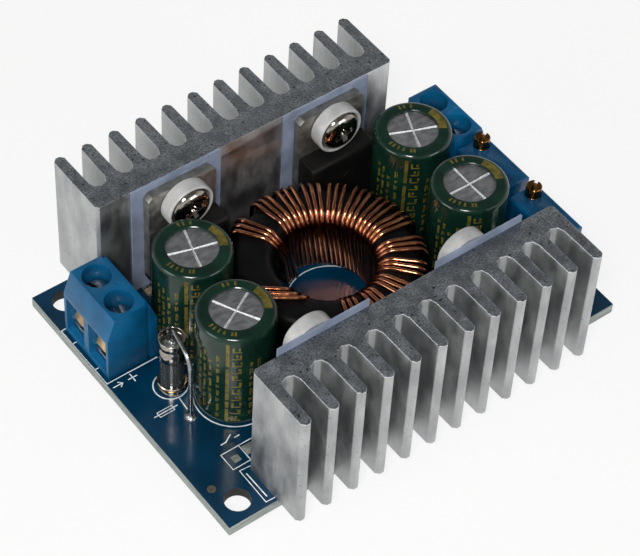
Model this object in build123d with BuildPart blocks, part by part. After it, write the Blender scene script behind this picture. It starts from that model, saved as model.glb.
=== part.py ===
from build123d import *

import math
import os

# Buck-boost converter module: a circuit board with a wound ring inductor between two finned heatsinks.
# Millimetres, +Z up. The origin is the centre of the four corner holes, on the board's underside.
# -X is the input end, +X the output end, -Y the front heatsink and +Y the rear one.

os.makedirs("parts", exist_ok=True)

# Circuit board
board_width = 62.6
board_depth = 44.8
board_thickness = 1.6
corner_hole_diameter = 3.5
corner_hole_spacing_x = 56.0
corner_hole_spacing_y = 39.0
lead_hole_clearance = 0.15
solder_radius = 1.1
solder_height = 1.6
solder_taper = 0.55
solder_collar = 0.1

# Sides of the outlines that stand for circles, fewer on small and hidden ones
round_sides = 20
ring_sides = 32
small_round_sides = 16
shank_sides = 12
lead_sides = 6
lead_hole_sides = 4
groove_root_sides = 4

# Heatsinks, cut from one extruded comb profile
heatsink_length = 46.9
heatsink_depth = 10.3
heatsink_height = 19.5
fin_count = 12
fin_tip_thickness = 1.55
fin_tip_chamfer = 0.5
fin_root_thickness = 1.75
groove_depth = 7.2
heatsink_corner = 0.4
front_face_y = -16.3
front_heatsink_x = -0.6
rear_face_y = 15.65
rear_heatsink_x = -1.5

# Insulating pads between the heatsinks and the transistors
pad_width = 13.8
pad_height = 19.0
pad_thickness = 0.3
pad_hole_diameter = 3.6
front_pad_base = 3.2
rear_pad_base = 2.0

# Transistors
front_left_ring_gap = 1.49
front_right_ring_gap = 0.59
rear_transistors_x = (-13.0, 10.9)
tab_width = 10.4
tab_thickness = 1.3
tab_top = 20.0
tab_hole_drop = 2.8
tab_hole_diameter = 3.7
tab_notch = 0.6
moulding_top = 13.35
moulding_bottom = 4.2
moulding_thickness = 4.5
moulding_edge = 0.35
moulding_heel = 0.8
leg_pitch = 2.54
leg_width = 0.8
leg_shoulder_width = 1.3
leg_shoulder_length = 1.3
leg_thickness = 0.5
leg_offset = 2.6

# Screws and insulating bushes that hold the tabs
screw_diameter = 3.0
screw_length = 5.0
screw_head_diameter = 5.5
screw_head_height = 2.0
screw_head_crown = 0.7
screw_recess_width = 0.8
screw_recess_span = 3.0
screw_recess_depth = 1.2
screw_clearance = 0.1
bush_diameter = 6.9
bush_height = 2.1
bush_floor = 0.8
bush_wall = 0.45
bush_spigot_length = 0.9

# Electrolytic capacitors
capacitor_height = 16.9
sleeve_diameter = 10.4
sleeve_thickness = 0.25
sleeve_shoulder = 0.5
sleeve_opening = 6.7
sleeve_foot = 0.3
can_clearance = 0.02
vent_width = 0.25
vent_depth = 0.12
vent_span = 5.6
capacitor_lead_pitch = 5.0
capacitor_lead_diameter = 0.6
input_capacitor_front = (-18.7, -5.7)
input_capacitor_rear_y = 5.6
input_capacitor_ring_gap = 0.39
output_capacitor_front = (18.4, -5.6)
output_capacitor_rear = (18.3, 6.1)

# Ring inductor, wound with three enamelled wires side by side
inductor_x = -0.75
inductor_y = -0.8
core_outer_diameter = 24.4
core_inner_diameter = 13.9
core_height = 9.1
core_edge = 1.3
strand_diameter = 0.56
strand_sides = 6
strand_count = 3
strand_pitch_inside = 0.62
strand_pitch_outside = 0.9
strand_pitch_crossing = 0.76
long_run_radius = 9.0
long_run_pitch = 0.85
winding_gap = 0.05
winding_bulge = 0.5
winding_shoulder = 0.8
winding_stand_off = 0.8
winding_slant = 10.0
close_turns = 7
close_turn_start = 97.0
close_turn_pitch = 16.8
spread_turns = 5
spread_turn_start = -26.0
spread_turn_pitch = 20.4
first_turn_angle = 122.0
first_turn_cross_angle = 112.0
first_turn_cross_drop = 3.2
first_turn_foot_angle = 97.0
first_turn_step = 0.74
last_turn_outside = -182.0
last_turn_inside = -157.0
last_turn_pitch = 1.1
winding_slot_width = 1.0

# Screw terminals, one at each end
terminal_width = 10.16
terminal_depth = 7.6
terminal_height = 10.85
terminal_shoulder = 7.45
terminal_front_slope = 1.15
terminal_rear_slope = 1.3
terminal_pitch = 5.08
terminal_y = 10.3
input_terminal_gap = 0.45
output_entry_x = 31.2
well_distance = 3.5
well_diameter = 3.9
entry_width = 4.0
entry_height = 6.0
entry_sill = 0.8
entry_depth = 6.6
dovetail_width = 0.6
dovetail_depth = 0.45
dovetail_distance = 6.2
clamp_width = 3.5
clamp_thickness = 0.8
clamp_length = 4.9
clamp_setback = 0.9
clamp_pin = 0.9
clamp_clearance = 0.15
clamp_screw_diameter = 2.6
clamp_screw_head = 3.6
clamp_screw_head_height = 1.6
clamp_screw_gap = 0.05
clamp_screw_slot = 0.6
clamp_screw_slot_depth = 0.8
leaf_thickness = 0.3
leaf_width = 3.3
leaf_drop = 3.0
leaf_set_in = 0.9

# Trimmers with a turning adjusting screw
trimmer_width = 4.8
trimmer_length = 9.5
trimmer_height = 10.0
trimmer_edge = 0.25
trimmer_foot_height = 0.4
trimmer_foot = 0.9
trimmer_right_edge = 30.2
trimmer_near_y = -10.8
trimmer_far_y = 0.0
adjuster_inset_x = 1.6
adjuster_inset_y = 1.3
adjuster_diameter = 2.2
adjuster_stand = 1.5
adjuster_engagement = 1.6
adjuster_clearance = 0.05
adjuster_end_gap = 0.1
adjuster_slot_width = 0.45
adjuster_slot_depth = 0.7
trimmer_pin_pitch = 2.54
trimmer_pin_diameter = 0.5

# Glass fuse standing on end, with its top wire bent down to the board
fuse_x = -24.45
fuse_y = -0.15
fuse_height = 9.8
fuse_upper_cap_diameter = 3.6
fuse_lower_cap_diameter = 4.0
fuse_upper_cap_length = 3.6
fuse_lower_cap_length = 1.4
fuse_cap_wall = 0.2
fuse_cap_recess = 0.8
fuse_glass_diameter = 3.2
fuse_glass_wall = 0.4
fuse_element_diameter = 0.3
fuse_wire_diameter = 0.6
fuse_wire_pad_x = -25.45
fuse_wire_pad_y = -5.65
fuse_wire_rise = 3.4
fuse_wire_bend = 2.2

# Control chip and small surface parts
chip_x = 1.0
chip_y = 3.0
chip_length = 4.9
chip_width = 3.9
chip_height = 1.3
chip_stand_off = 0.1
chip_legs_per_side = 4
chip_leg_pitch = 1.27
chip_leg_width = 0.42
chip_leg_thickness = 0.2
chip_leg_foot = 0.6
chip_leg_span = 6.0
small_part_length = 2.0
small_part_width = 1.25
small_part_height = 0.55
small_parts_x = -9.0
small_parts_y = 4.0
small_parts_columns = 3
small_parts_rows = 2
small_parts_pitch_x = 4.0
small_parts_pitch_y = 2.6
top_part_x = -18.1
top_part_y = 14.3

# Sizes that follow from the ones above
board_top = board_thickness
tab_hole_z = tab_top - tab_hole_drop


def ring_reach(radius, y):
    """Half the width, at a height y on the board, of a circle about the inductor's axis."""
    return math.sqrt(radius**2 - (y - inductor_y) ** 2)


# Places of the pieces that stand close to the ring
front_moulding_y = front_face_y + pad_thickness + moulding_thickness
front_ring_reach = ring_reach(core_outer_diameter / 2, front_moulding_y)
front_transistors_x = (
    inductor_x - front_ring_reach - front_left_ring_gap - tab_width / 2,
    inductor_x + front_ring_reach + front_right_ring_gap + tab_width / 2,
)
input_capacitor_distance = core_outer_diameter / 2 + sleeve_diameter / 2 + input_capacitor_ring_gap
input_capacitor_rear_x = inductor_x - ring_reach(input_capacitor_distance, input_capacitor_rear_y)
input_capacitor_rear = (input_capacitor_rear_x, input_capacitor_rear_y)
input_entry_x = input_capacitor_rear_x - sleeve_diameter / 2 - input_terminal_gap - terminal_depth

capacitor_places = {
    "input_front": input_capacitor_front,
    "input_rear": input_capacitor_rear,
    "output_front": output_capacitor_front,
    "output_rear": output_capacitor_rear,
}
terminal_places = {
    "input": (input_entry_x, 1),
    "output": (output_entry_x, -1),
}
trimmer_places = {
    "near": trimmer_near_y,
    "far": trimmer_far_y,
}
trimmer_x = trimmer_right_edge - trimmer_width / 2
seats = {
    "front_left": (front_transistors_x[0], front_face_y, 1, front_pad_base),
    "front_right": (front_transistors_x[1], front_face_y, 1, front_pad_base),
    "rear_left": (rear_transistors_x[0], rear_face_y, -1, rear_pad_base),
    "rear_right": (rear_transistors_x[1], rear_face_y, -1, rear_pad_base),
}


def seat_plane(x, face_y, outward):
    """Plane on a heatsink's mounting face: its y runs up, its z out of the metal."""
    return Plane(origin=(x, face_y, 0), x_dir=(-outward, 0, 0), z_dir=(0, outward, 0))


# Winding route
winding_offset = strand_diameter / 2 + winding_gap
winding_bend = core_edge + winding_offset * (2 - math.sqrt(2))
winding_inner_radius = core_inner_diameter / 2 - winding_offset
winding_outer_radius = core_outer_diameter / 2 + winding_offset + winding_bulge
winding_low = board_top + winding_stand_off + strand_diameter / 2
core_bottom = winding_low + winding_offset
winding_high = core_bottom + core_height + winding_offset


def ring_point(radius, angle, height):
    """Point at a radius and an angle about the inductor's axis."""
    return Vector(
        inductor_x + radius * math.cos(math.radians(angle)),
        inductor_y + radius * math.sin(math.radians(angle)),
        height,
    )


def lane(angle, place, pitch, radius):
    """Angle of one of the wires that run side by side, spaced by a pitch at a radius."""
    return angle - math.degrees(place * pitch / radius)


def turn_top(outside, inside):
    """Points that carry a wire over the ring, from the outer wall to the inner one."""
    return [
        ring_point(winding_outer_radius, outside, winding_high - winding_shoulder),
        ring_point(winding_outer_radius - winding_shoulder, outside, winding_high),
        ring_point(winding_inner_radius + winding_bend, inside, winding_high),
        ring_point(winding_inner_radius, inside, winding_high - winding_bend),
    ]


def first_turn(place):
    """First turn, which crosses over the second one on the inner wall."""
    outside = lane(first_turn_angle, place, strand_pitch_outside, winding_outer_radius)
    inside = lane(first_turn_angle, place, strand_pitch_inside, winding_inner_radius)
    crossing_radius = winding_inner_radius - first_turn_step
    cross = lane(first_turn_cross_angle, place, strand_pitch_crossing, crossing_radius)
    foot = lane(first_turn_foot_angle, place, strand_pitch_crossing, crossing_radius)
    route = [ring_point(winding_outer_radius, outside, 0)]
    route += turn_top(outside, inside)
    route.append(ring_point(crossing_radius, cross, winding_high - winding_bend - first_turn_cross_drop))
    route.append(ring_point(crossing_radius, foot, winding_low - first_turn_step))
    return route


def middle_turn(angle, place):
    """One whole turn, up the outer wall, over, and down the inner wall at a slant."""
    outside = lane(angle, place, strand_pitch_outside, winding_outer_radius)
    inside = lane(angle, place, strand_pitch_inside, winding_inner_radius)
    route = [ring_point(winding_outer_radius, outside, winding_low)]
    route += turn_top(outside, inside)
    route.append(ring_point(winding_inner_radius, inside - winding_slant, winding_low))
    return route


def last_turn(start_angle, place):
    """Last turn, reached by a long run under the ring, that ends in the board inside it."""
    start = lane(start_angle, place, strand_pitch_inside, winding_inner_radius)
    outside = lane(last_turn_outside, place, strand_pitch_outside, winding_outer_radius)
    inside = lane(last_turn_inside, place, last_turn_pitch, winding_inner_radius)
    run_radius = long_run_radius - place * long_run_pitch
    route = [ring_point(run_radius, angle, winding_low) for angle in (start, (start + outside) / 2, outside)]
    route.append(ring_point(winding_outer_radius, outside, winding_low))
    route += turn_top(outside, inside)
    route.append(ring_point(winding_inner_radius, inside, 0))
    return route


def strand_route(place):
    """Route of one wire from its hole in the board, through every turn, to its other hole."""
    close_angles = [close_turn_start - turn * close_turn_pitch for turn in range(close_turns)]
    spread_angles = [spread_turn_start - turn * spread_turn_pitch for turn in range(spread_turns)]
    route = first_turn(place)
    for angle in close_angles + spread_angles:
        route += middle_turn(angle, place)
    route += last_turn(spread_angles[-1] - winding_slant, place)
    return route


# Places where leads pass through the board
capacitor_leads = [
    (x, y + side * capacitor_lead_pitch / 2) for x, y in capacitor_places.values() for side in (-1, 1)
]
transistor_legs = [
    (x + place * leg_pitch, face_y + outward * (pad_thickness + leg_offset))
    for x, face_y, outward, base in seats.values()
    for place in (-1, 0, 1)
]
terminal_pins = [
    (entry_x + inward * well_distance, terminal_y + side * terminal_pitch / 2)
    for entry_x, inward in terminal_places.values()
    for side in (-1, 1)
]
trimmer_pins = [
    (trimmer_x, y + place * trimmer_pin_pitch)
    for y in trimmer_places.values()
    for place in (-1, 0, 1)
]
fuse_leads = [(fuse_x, fuse_y), (fuse_wire_pad_x, fuse_wire_pad_y)]
winding_slots = [
    (winding_outer_radius, first_turn_angle, strand_pitch_outside),
    (winding_inner_radius, last_turn_inside, last_turn_pitch),
]


def lead_hole_radius(lead_radius):
    """Corner radius of a hole whose flats clear a lead."""
    return (lead_radius + lead_hole_clearance) / math.cos(math.pi / lead_hole_sides)


def winding_slot_length(pitch):
    """Length of a board slot that takes the winding's wires side by side."""
    return (strand_count - 1) * pitch + strand_diameter + 2 * lead_hole_clearance


# Circuit board
lead_hole_kinds = [
    (capacitor_leads, capacitor_lead_diameter / 2),
    (transistor_legs, math.hypot(leg_width, leg_thickness) / 2),
    (terminal_pins, clamp_pin / math.sqrt(2)),
    (trimmer_pins, trimmer_pin_diameter / 2),
    (fuse_leads, fuse_wire_diameter / 2),
]
with BuildPart() as circuit_board:
    with BuildSketch():
        Rectangle(board_width, board_depth)
        with GridLocations(corner_hole_spacing_x, corner_hole_spacing_y, 2, 2):
            Circle(corner_hole_diameter / 2, mode=Mode.SUBTRACT)
        for places, lead_radius in lead_hole_kinds:
            with Locations(*places):
                RegularPolygon(lead_hole_radius(lead_radius), lead_hole_sides, mode=Mode.SUBTRACT)
        for radius, angle, pitch in winding_slots:
            with Locations(Location(ring_point(radius, angle, 0), (0, 0, angle))):
                Rectangle(winding_slot_width, winding_slot_length(pitch), mode=Mode.SUBTRACT)
    extrude(amount=board_thickness)
circuit_board.part.label = "circuit_board"
export_step(circuit_board.part, "parts/circuit_board.step")

# Solder joints: a tapered joint under each lead, and a long one under each slot
def solder_taper_at(joint):
    """Taper the lower end of one solder joint."""
    tip = joint.faces().sort_by(Axis.Z)[0]
    chamfer(tip.edges(), solder_taper, solder_height - solder_collar, reference=tip)


with BuildPart() as lead_joint:
    with BuildSketch():
        RegularPolygon(solder_radius, lead_sides)
    extrude(amount=-solder_height)
    solder_taper_at(lead_joint)

slot_joints = []
for radius, angle, pitch in winding_slots:
    with BuildPart() as slot_joint:
        with BuildSketch():
            Rectangle(2 * solder_radius, winding_slot_length(pitch) + solder_radius)
        extrude(amount=-solder_height)
        solder_taper_at(slot_joint)
    place = Location(ring_point(radius, angle, 0), (0, 0, angle))
    slot_joints.append(slot_joint.part.moved(place))

with BuildPart() as solder_joints:
    for places, lead_radius in lead_hole_kinds:
        with Locations(*places):
            add(lead_joint.part)
    for joint in slot_joints:
        add(joint)
solder_joints.part.label = "solder_joints"
export_step(solder_joints.part, "parts/solder_joints.step")


def heatsink(centre_x, face_y, outward, screws_x):
    """One finned heatsink standing on the board, with blind screw holes in its mounting face."""
    fin_pitch = (heatsink_length - fin_tip_thickness) / (fin_count - 1)
    root_width = fin_pitch - fin_root_thickness
    mouth_width = fin_pitch - fin_tip_thickness
    profile = Plane(origin=(centre_x, face_y, board_top), x_dir=(outward, 0, 0), z_dir=(0, 0, 1))
    root_radius = root_width / 2
    root_angles = [math.pi * step / groove_root_sides for step in range(groove_root_sides + 1)]
    root = [
        (-root_radius * math.cos(angle), groove_depth - root_radius + root_radius * math.sin(angle))
        for angle in root_angles
    ]
    with BuildSketch() as groove:
        Polygon((mouth_width / 2, 0), (-mouth_width / 2, 0), *root, align=None)
    with BuildPart() as comb:
        with BuildSketch(profile) as outline:
            with Locations((0, -heatsink_depth / 2)):
                Rectangle(heatsink_length, heatsink_depth)
            with Locations((0, -heatsink_depth)):
                with GridLocations(fin_pitch, 1, fin_count - 1, 1):
                    add(groove.sketch, mode=Mode.SUBTRACT)
            tips = outline.vertices().filter_by(lambda corner: corner.Y < -heatsink_depth + fin_tip_chamfer)
            chamfer(tips, fin_tip_chamfer)
            back = outline.vertices().filter_by(lambda corner: corner.Y > -heatsink_corner)
            chamfer(back, heatsink_corner)
        extrude(amount=heatsink_height)
        for x in screws_x:
            with Locations(seat_plane(x, face_y, outward).location * Location((0, tab_hole_z, 0))):
                Hole(screw_diameter / 2 + screw_clearance, depth=tapped_depth)
    return comb


head_seat = pad_thickness + tab_thickness + bush_floor
tapped_depth = screw_length - head_seat + screw_clearance

for name, centre_x, face_y, outward, screws_x in (
    ("heatsink_front", front_heatsink_x, front_face_y, 1, front_transistors_x),
    ("heatsink_rear", rear_heatsink_x, rear_face_y, -1, rear_transistors_x),
):
    comb = heatsink(centre_x, face_y, outward, screws_x)
    comb.part.label = name
    export_step(comb.part, f"parts/{name}.step")


def insulating_pad(plane, base):
    """Thin sheet between a heatsink and a transistor, with a hole for the screw."""
    with BuildPart() as pad:
        with BuildSketch(plane):
            with Locations((0, base + pad_height / 2)):
                Rectangle(pad_width, pad_height)
            with Locations((0, tab_hole_z)):
                RegularPolygon(pad_hole_diameter / 2, shank_sides, mode=Mode.SUBTRACT)
        extrude(amount=pad_thickness)
    return pad


def transistor_tab(plane):
    """Metal mounting plate of a transistor, with notched corners and a screw hole."""
    plate_bottom = moulding_bottom + moulding_heel
    with BuildPart() as tab:
        with BuildSketch(plane.offset(pad_thickness)) as plate:
            with Locations((0, (tab_top + plate_bottom) / 2)):
                Rectangle(tab_width, tab_top - plate_bottom)
            chamfer(plate.vertices().group_by(Axis.Y)[-1], tab_notch)
            with Locations((0, tab_hole_z)):
                RegularPolygon(tab_hole_diameter / 2, small_round_sides, mode=Mode.SUBTRACT)
        extrude(amount=tab_thickness)
    return tab


def transistor_moulding(plane):
    """Plastic body in front of the plate, with a heel under the plate's lower edge."""
    inner = pad_thickness
    front = pad_thickness + moulding_thickness
    section = Plane(origin=plane.origin, x_dir=plane.z_dir, z_dir=-plane.x_dir)
    with BuildPart() as moulding:
        with BuildSketch(section):
            with BuildLine():
                Polyline(
                    (inner + tab_thickness, moulding_top),
                    (front - moulding_edge, moulding_top),
                    (front, moulding_top - moulding_edge),
                    (front, moulding_bottom + moulding_edge),
                    (front - moulding_edge, moulding_bottom),
                    (inner, moulding_bottom),
                    (inner, moulding_bottom + moulding_heel),
                    (inner + tab_thickness, moulding_bottom + moulding_heel),
                    close=True,
                )
            make_face()
        extrude(amount=tab_width / 2, both=True)
    return moulding


def transistor_leg_set(plane):
    """Three flat legs from under the moulding into the board."""
    narrow_top = moulding_bottom - leg_shoulder_length
    with BuildPart() as legs:
        with BuildSketch(plane.offset(pad_thickness + leg_offset - leg_thickness / 2)):
            with Locations((0, narrow_top + leg_shoulder_length / 2)):
                with GridLocations(leg_pitch, 1, 3, 1):
                    Rectangle(leg_shoulder_width, leg_shoulder_length)
            with Locations((0, narrow_top / 2)):
                with GridLocations(leg_pitch, 1, 3, 1):
                    Rectangle(leg_width, narrow_top)
        extrude(amount=leg_thickness)
    return legs


for corner, (x, face_y, outward, pad_base) in seats.items():
    plane = seat_plane(x, face_y, outward)
    for name, piece in (
        (f"insulating_pad_{corner}", insulating_pad(plane, pad_base)),
        (f"transistor_tab_{corner}", transistor_tab(plane)),
        (f"transistor_moulding_{corner}", transistor_moulding(plane)),
        (f"transistor_legs_{corner}", transistor_leg_set(plane)),
    ):
        piece.part.label = name
        export_step(piece.part, f"parts/{name}.step")

# Insulating bushes: a cup for the screw's head, with a spigot in the tab's hole
seat_locations = [
    seat_plane(x, face_y, outward).location * Location((0, tab_hole_z, 0))
    for x, face_y, outward, base in seats.values()
]
tab_front = pad_thickness + tab_thickness
with BuildPart() as bush:
    with BuildSketch(Plane.XY.offset(tab_front)):
        RegularPolygon(bush_diameter / 2, round_sides)
    extrude(amount=bush_height)
    with BuildSketch(Plane.XY.offset(head_seat)):
        RegularPolygon(bush_diameter / 2 - bush_wall, round_sides)
    extrude(amount=bush_height, mode=Mode.SUBTRACT)
    with BuildSketch(Plane.XY.offset(tab_front - bush_spigot_length)):
        RegularPolygon(tab_hole_diameter / 2 - screw_clearance, shank_sides)
    extrude(amount=bush_spigot_length)
    with BuildSketch(Plane.XY.offset(tab_front - bush_spigot_length)):
        RegularPolygon(screw_diameter / 2 + screw_clearance, shank_sides)
    extrude(amount=bush_spigot_length + bush_floor, mode=Mode.SUBTRACT)

with BuildPart() as insulating_bushes:
    with Locations(*seat_locations):
        add(bush.part)
insulating_bushes.part.label = "insulating_bushes"
export_step(insulating_bushes.part, "parts/insulating_bushes.step")

# Tab screws
head_top = head_seat + screw_head_height
with BuildPart() as tab_screw:
    with BuildSketch(Plane.XY.offset(head_seat)):
        RegularPolygon(screw_head_diameter / 2, small_round_sides)
    extrude(amount=screw_head_height)
    crown = tab_screw.faces().sort_by(Axis.Z)[-1]
    chamfer(crown.edges(), screw_head_crown)
    with BuildSketch(Plane.XY.offset(head_top)):
        Rectangle(screw_recess_span, screw_recess_width)
        Rectangle(screw_recess_width, screw_recess_span)
    extrude(amount=-screw_recess_depth, mode=Mode.SUBTRACT)
    with BuildSketch(Plane.XY.offset(head_seat)):
        RegularPolygon(screw_diameter / 2, shank_sides)
    extrude(amount=-screw_length)

with BuildPart() as tab_screws:
    with Locations(*seat_locations):
        add(tab_screw.part)
tab_screws.part.label = "tab_screws"
export_step(tab_screws.part, "parts/tab_screws.step")


def capacitor_body(x, y, radius, foot, top):
    """Upright round body with a chamfered shoulder."""
    with BuildPart() as body:
        with BuildSketch(Plane.XY.offset(foot)):
            with Locations((x, y)):
                RegularPolygon(radius, round_sides)
        extrude(amount=top - foot)
        shoulder = body.faces().sort_by(Axis.Z)[-1]
        chamfer(shoulder.edges(), sleeve_shoulder)
    return body


def capacitor_can(x, y):
    """Aluminium can with a crossed vent scored in its top."""
    radius = sleeve_diameter / 2 - sleeve_thickness - can_clearance
    top = board_top + capacitor_height - sleeve_thickness - can_clearance
    with BuildPart() as can:
        add(capacitor_body(x, y, radius, board_top, top).part)
        with BuildSketch(Plane.XY.offset(top)):
            with Locations((x, y)):
                Rectangle(vent_span, vent_width, rotation=45)
                Rectangle(vent_width, vent_span, rotation=45)
        extrude(amount=-vent_depth, mode=Mode.SUBTRACT)
    return can


def capacitor_sleeve(x, y):
    """Shrunk plastic sleeve that turns in over the can's shoulder."""
    radius = sleeve_diameter / 2
    top = board_top + capacitor_height
    with BuildPart() as sleeve:
        add(capacitor_body(x, y, radius, board_top + sleeve_foot, top).part)
        inside = capacitor_body(x, y, radius - sleeve_thickness, board_top, top - sleeve_thickness)
        add(inside.part, mode=Mode.SUBTRACT)
        with BuildSketch(Plane.XY.offset(top)):
            with Locations((x, y)):
                RegularPolygon(sleeve_opening / 2, round_sides)
        extrude(amount=-capacitor_height / 2, mode=Mode.SUBTRACT)
    return sleeve


for place, (x, y) in capacitor_places.items():
    for name, piece in (
        (f"capacitor_can_{place}", capacitor_can(x, y)),
        (f"capacitor_sleeve_{place}", capacitor_sleeve(x, y)),
    ):
        piece.part.label = name
        export_step(piece.part, f"parts/{name}.step")

with BuildPart() as capacitor_wires:
    with BuildSketch():
        with Locations(*capacitor_leads):
            RegularPolygon(capacitor_lead_diameter / 2, lead_sides)
    extrude(amount=board_top)
capacitor_wires.part.label = "capacitor_wires"
export_step(capacitor_wires.part, "parts/capacitor_wires.step")

# Ring inductor
with BuildPart() as inductor_core:
    with BuildSketch(Plane.XY.offset(core_bottom)):
        with Locations((inductor_x, inductor_y)):
            RegularPolygon(core_outer_diameter / 2, ring_sides)
            RegularPolygon(core_inner_diameter / 2, ring_sides, mode=Mode.SUBTRACT)
    extrude(amount=core_height)
    flat_ends = inductor_core.faces().filter_by(Axis.Z)
    chamfer(flat_ends.edges(), core_edge)
inductor_core.part.label = "inductor_core"
export_step(inductor_core.part, "parts/inductor_core.step")

for number in range(strand_count):
    route = strand_route(number - (strand_count - 1) / 2)
    with BuildPart() as strand:
        with BuildLine():
            Polyline(*route)
        with BuildSketch(Plane(origin=route[0], z_dir=route[1] - route[0])):
            RegularPolygon(strand_diameter / 2, strand_sides)
        sweep(transition=Transition.RIGHT)
    strand.part.label = f"inductor_wire_{number + 1}"
    export_step(strand.part, f"parts/inductor_wire_{number + 1}.step")


def terminal_housing(entry_x, inward):
    """Two-pole terminal body: screw wells on top, wire entries in front, dovetail groove in the side."""
    section = Plane(origin=(entry_x, terminal_y, board_top), x_dir=(inward, 0, 0), z_dir=(0, -inward, 0))
    front = Plane(origin=(entry_x, terminal_y, board_top), x_dir=(0, -inward, 0), z_dir=(-inward, 0, 0))
    with BuildPart() as housing:
        with BuildSketch(section):
            with BuildLine():
                Polyline(
                    (0, 0),
                    (0, terminal_shoulder),
                    (terminal_front_slope, terminal_height),
                    (terminal_depth - terminal_rear_slope, terminal_height),
                    (terminal_depth, terminal_shoulder),
                    (terminal_depth, 0),
                    close=True,
                )
            make_face()
        extrude(amount=terminal_width / 2, both=True)
        with BuildSketch(front):
            with Locations((0, entry_sill + entry_height / 2)):
                with GridLocations(terminal_pitch, 1, 2, 1):
                    Rectangle(entry_width, entry_height)
        extrude(amount=-entry_depth, mode=Mode.SUBTRACT)
        with BuildSketch(Plane.XY.offset(board_top)):
            with Locations((entry_x + inward * well_distance, terminal_y)):
                with GridLocations(1, terminal_pitch, 1, 2):
                    Rectangle(clamp_pin + 2 * clamp_clearance, clamp_pin + 2 * clamp_clearance)
        extrude(amount=entry_sill, mode=Mode.SUBTRACT)
        with BuildSketch(Plane.XY.offset(board_top + entry_sill + entry_height)):
            with Locations((entry_x + inward * well_distance, terminal_y)):
                with GridLocations(1, terminal_pitch, 1, 2):
                    RegularPolygon(well_diameter / 2, round_sides)
        extrude(amount=terminal_height, mode=Mode.SUBTRACT)
        with BuildSketch(Plane.XY.offset(board_top)):
            with Locations((entry_x + inward * dovetail_distance, terminal_y)):
                with GridLocations(1, terminal_width, 1, 2):
                    Rectangle(dovetail_width, 2 * dovetail_depth)
        extrude(amount=terminal_height, mode=Mode.SUBTRACT)
    return housing


cage_bottom = board_top + entry_sill + clamp_clearance
cage_top = board_top + entry_sill + entry_height - clamp_clearance


def clamp_cages(entry_x, inward):
    """Bent metal cages, open to the wire entries, each with a threaded top and a pin into the board."""
    cage_front = entry_x + inward * clamp_setback
    cage_back = cage_front + inward * clamp_length
    with BuildPart() as cages:
        for side in (-1, 1):
            y = terminal_y + side * terminal_pitch / 2
            with BuildSketch(Plane(origin=(0, y, 0), x_dir=(1, 0, 0), z_dir=(0, -1, 0))):
                with BuildLine():
                    Polyline(
                        (cage_front, cage_bottom),
                        (cage_back, cage_bottom),
                        (cage_back, cage_top),
                        (cage_front, cage_top),
                        (cage_front, cage_top - clamp_thickness),
                        (cage_back - inward * clamp_thickness, cage_top - clamp_thickness),
                        (cage_back - inward * clamp_thickness, cage_bottom + clamp_thickness),
                        (cage_front, cage_bottom + clamp_thickness),
                        close=True,
                    )
                make_face()
            extrude(amount=clamp_width / 2, both=True)
            with BuildSketch(Plane.XY.offset(cage_top)):
                with Locations((entry_x + inward * well_distance, y)):
                    RegularPolygon(clamp_screw_diameter / 2 + clamp_screw_gap, shank_sides)
            extrude(amount=-clamp_thickness, mode=Mode.SUBTRACT)
            with BuildSketch():
                with Locations((entry_x + inward * well_distance, y)):
                    Rectangle(clamp_pin, clamp_pin)
            extrude(amount=cage_bottom)
    return cages


def clamp_screws(entry_x, inward):
    """Slotted clamp screws at the bottom of the wells."""
    head_base = cage_top + clamp_screw_gap
    head_top = head_base + clamp_screw_head_height
    with BuildPart() as screws:
        for height, radius, sides, rise in (
            (head_base, clamp_screw_head / 2, small_round_sides, clamp_screw_head_height),
            (head_base, clamp_screw_diameter / 2, shank_sides, -clamp_thickness - 2 * clamp_screw_gap),
        ):
            with BuildSketch(Plane.XY.offset(height)):
                with Locations((entry_x + inward * well_distance, terminal_y)):
                    with GridLocations(1, terminal_pitch, 1, 2):
                        RegularPolygon(radius, sides)
            extrude(amount=rise)
        with BuildSketch(Plane.XY.offset(head_top)):
            with Locations((entry_x + inward * well_distance, terminal_y)):
                with GridLocations(1, terminal_pitch, 1, 2):
                    Rectangle(clamp_screw_slot, clamp_screw_head)
        extrude(amount=-clamp_screw_slot_depth, mode=Mode.SUBTRACT)
    return screws


def clamp_leaves(entry_x, inward):
    """Sprung leaves that hang inside the cages and press on the wires."""
    hinge_x = entry_x + inward * (clamp_setback + leaf_set_in)
    tail_x = entry_x + inward * (clamp_setback + clamp_length - clamp_thickness - leaf_set_in)
    leaf_top = cage_top - clamp_thickness - clamp_clearance
    with BuildPart() as leaves:
        for side in (-1, 1):
            y = terminal_y + side * terminal_pitch / 2
            with BuildSketch(Plane(origin=(0, y, 0), x_dir=(1, 0, 0), z_dir=(0, -1, 0))):
                with BuildLine():
                    Polyline(
                        (tail_x, leaf_top),
                        (hinge_x, leaf_top),
                        (hinge_x - inward * leaf_set_in, leaf_top - leaf_drop),
                        (hinge_x - inward * leaf_set_in + inward * leaf_thickness, leaf_top - leaf_drop),
                        (hinge_x + inward * leaf_thickness, leaf_top - leaf_thickness),
                        (tail_x, leaf_top - leaf_thickness),
                        close=True,
                    )
                make_face()
            extrude(amount=leaf_width / 2, both=True)
    return leaves


for end, (entry_x, inward) in terminal_places.items():
    for name, piece in (
        (f"{end}_terminal_housing", terminal_housing(entry_x, inward)),
        (f"{end}_clamp_cages", clamp_cages(entry_x, inward)),
        (f"{end}_clamp_screws", clamp_screws(entry_x, inward)),
        (f"{end}_clamp_leaves", clamp_leaves(entry_x, inward)),
    ):
        piece.part.label = name
        export_step(piece.part, f"parts/{name}.step")

# Trimmers
trimmer_top = board_top + trimmer_height
adjuster_x = trimmer_right_edge - adjuster_inset_x


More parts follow.
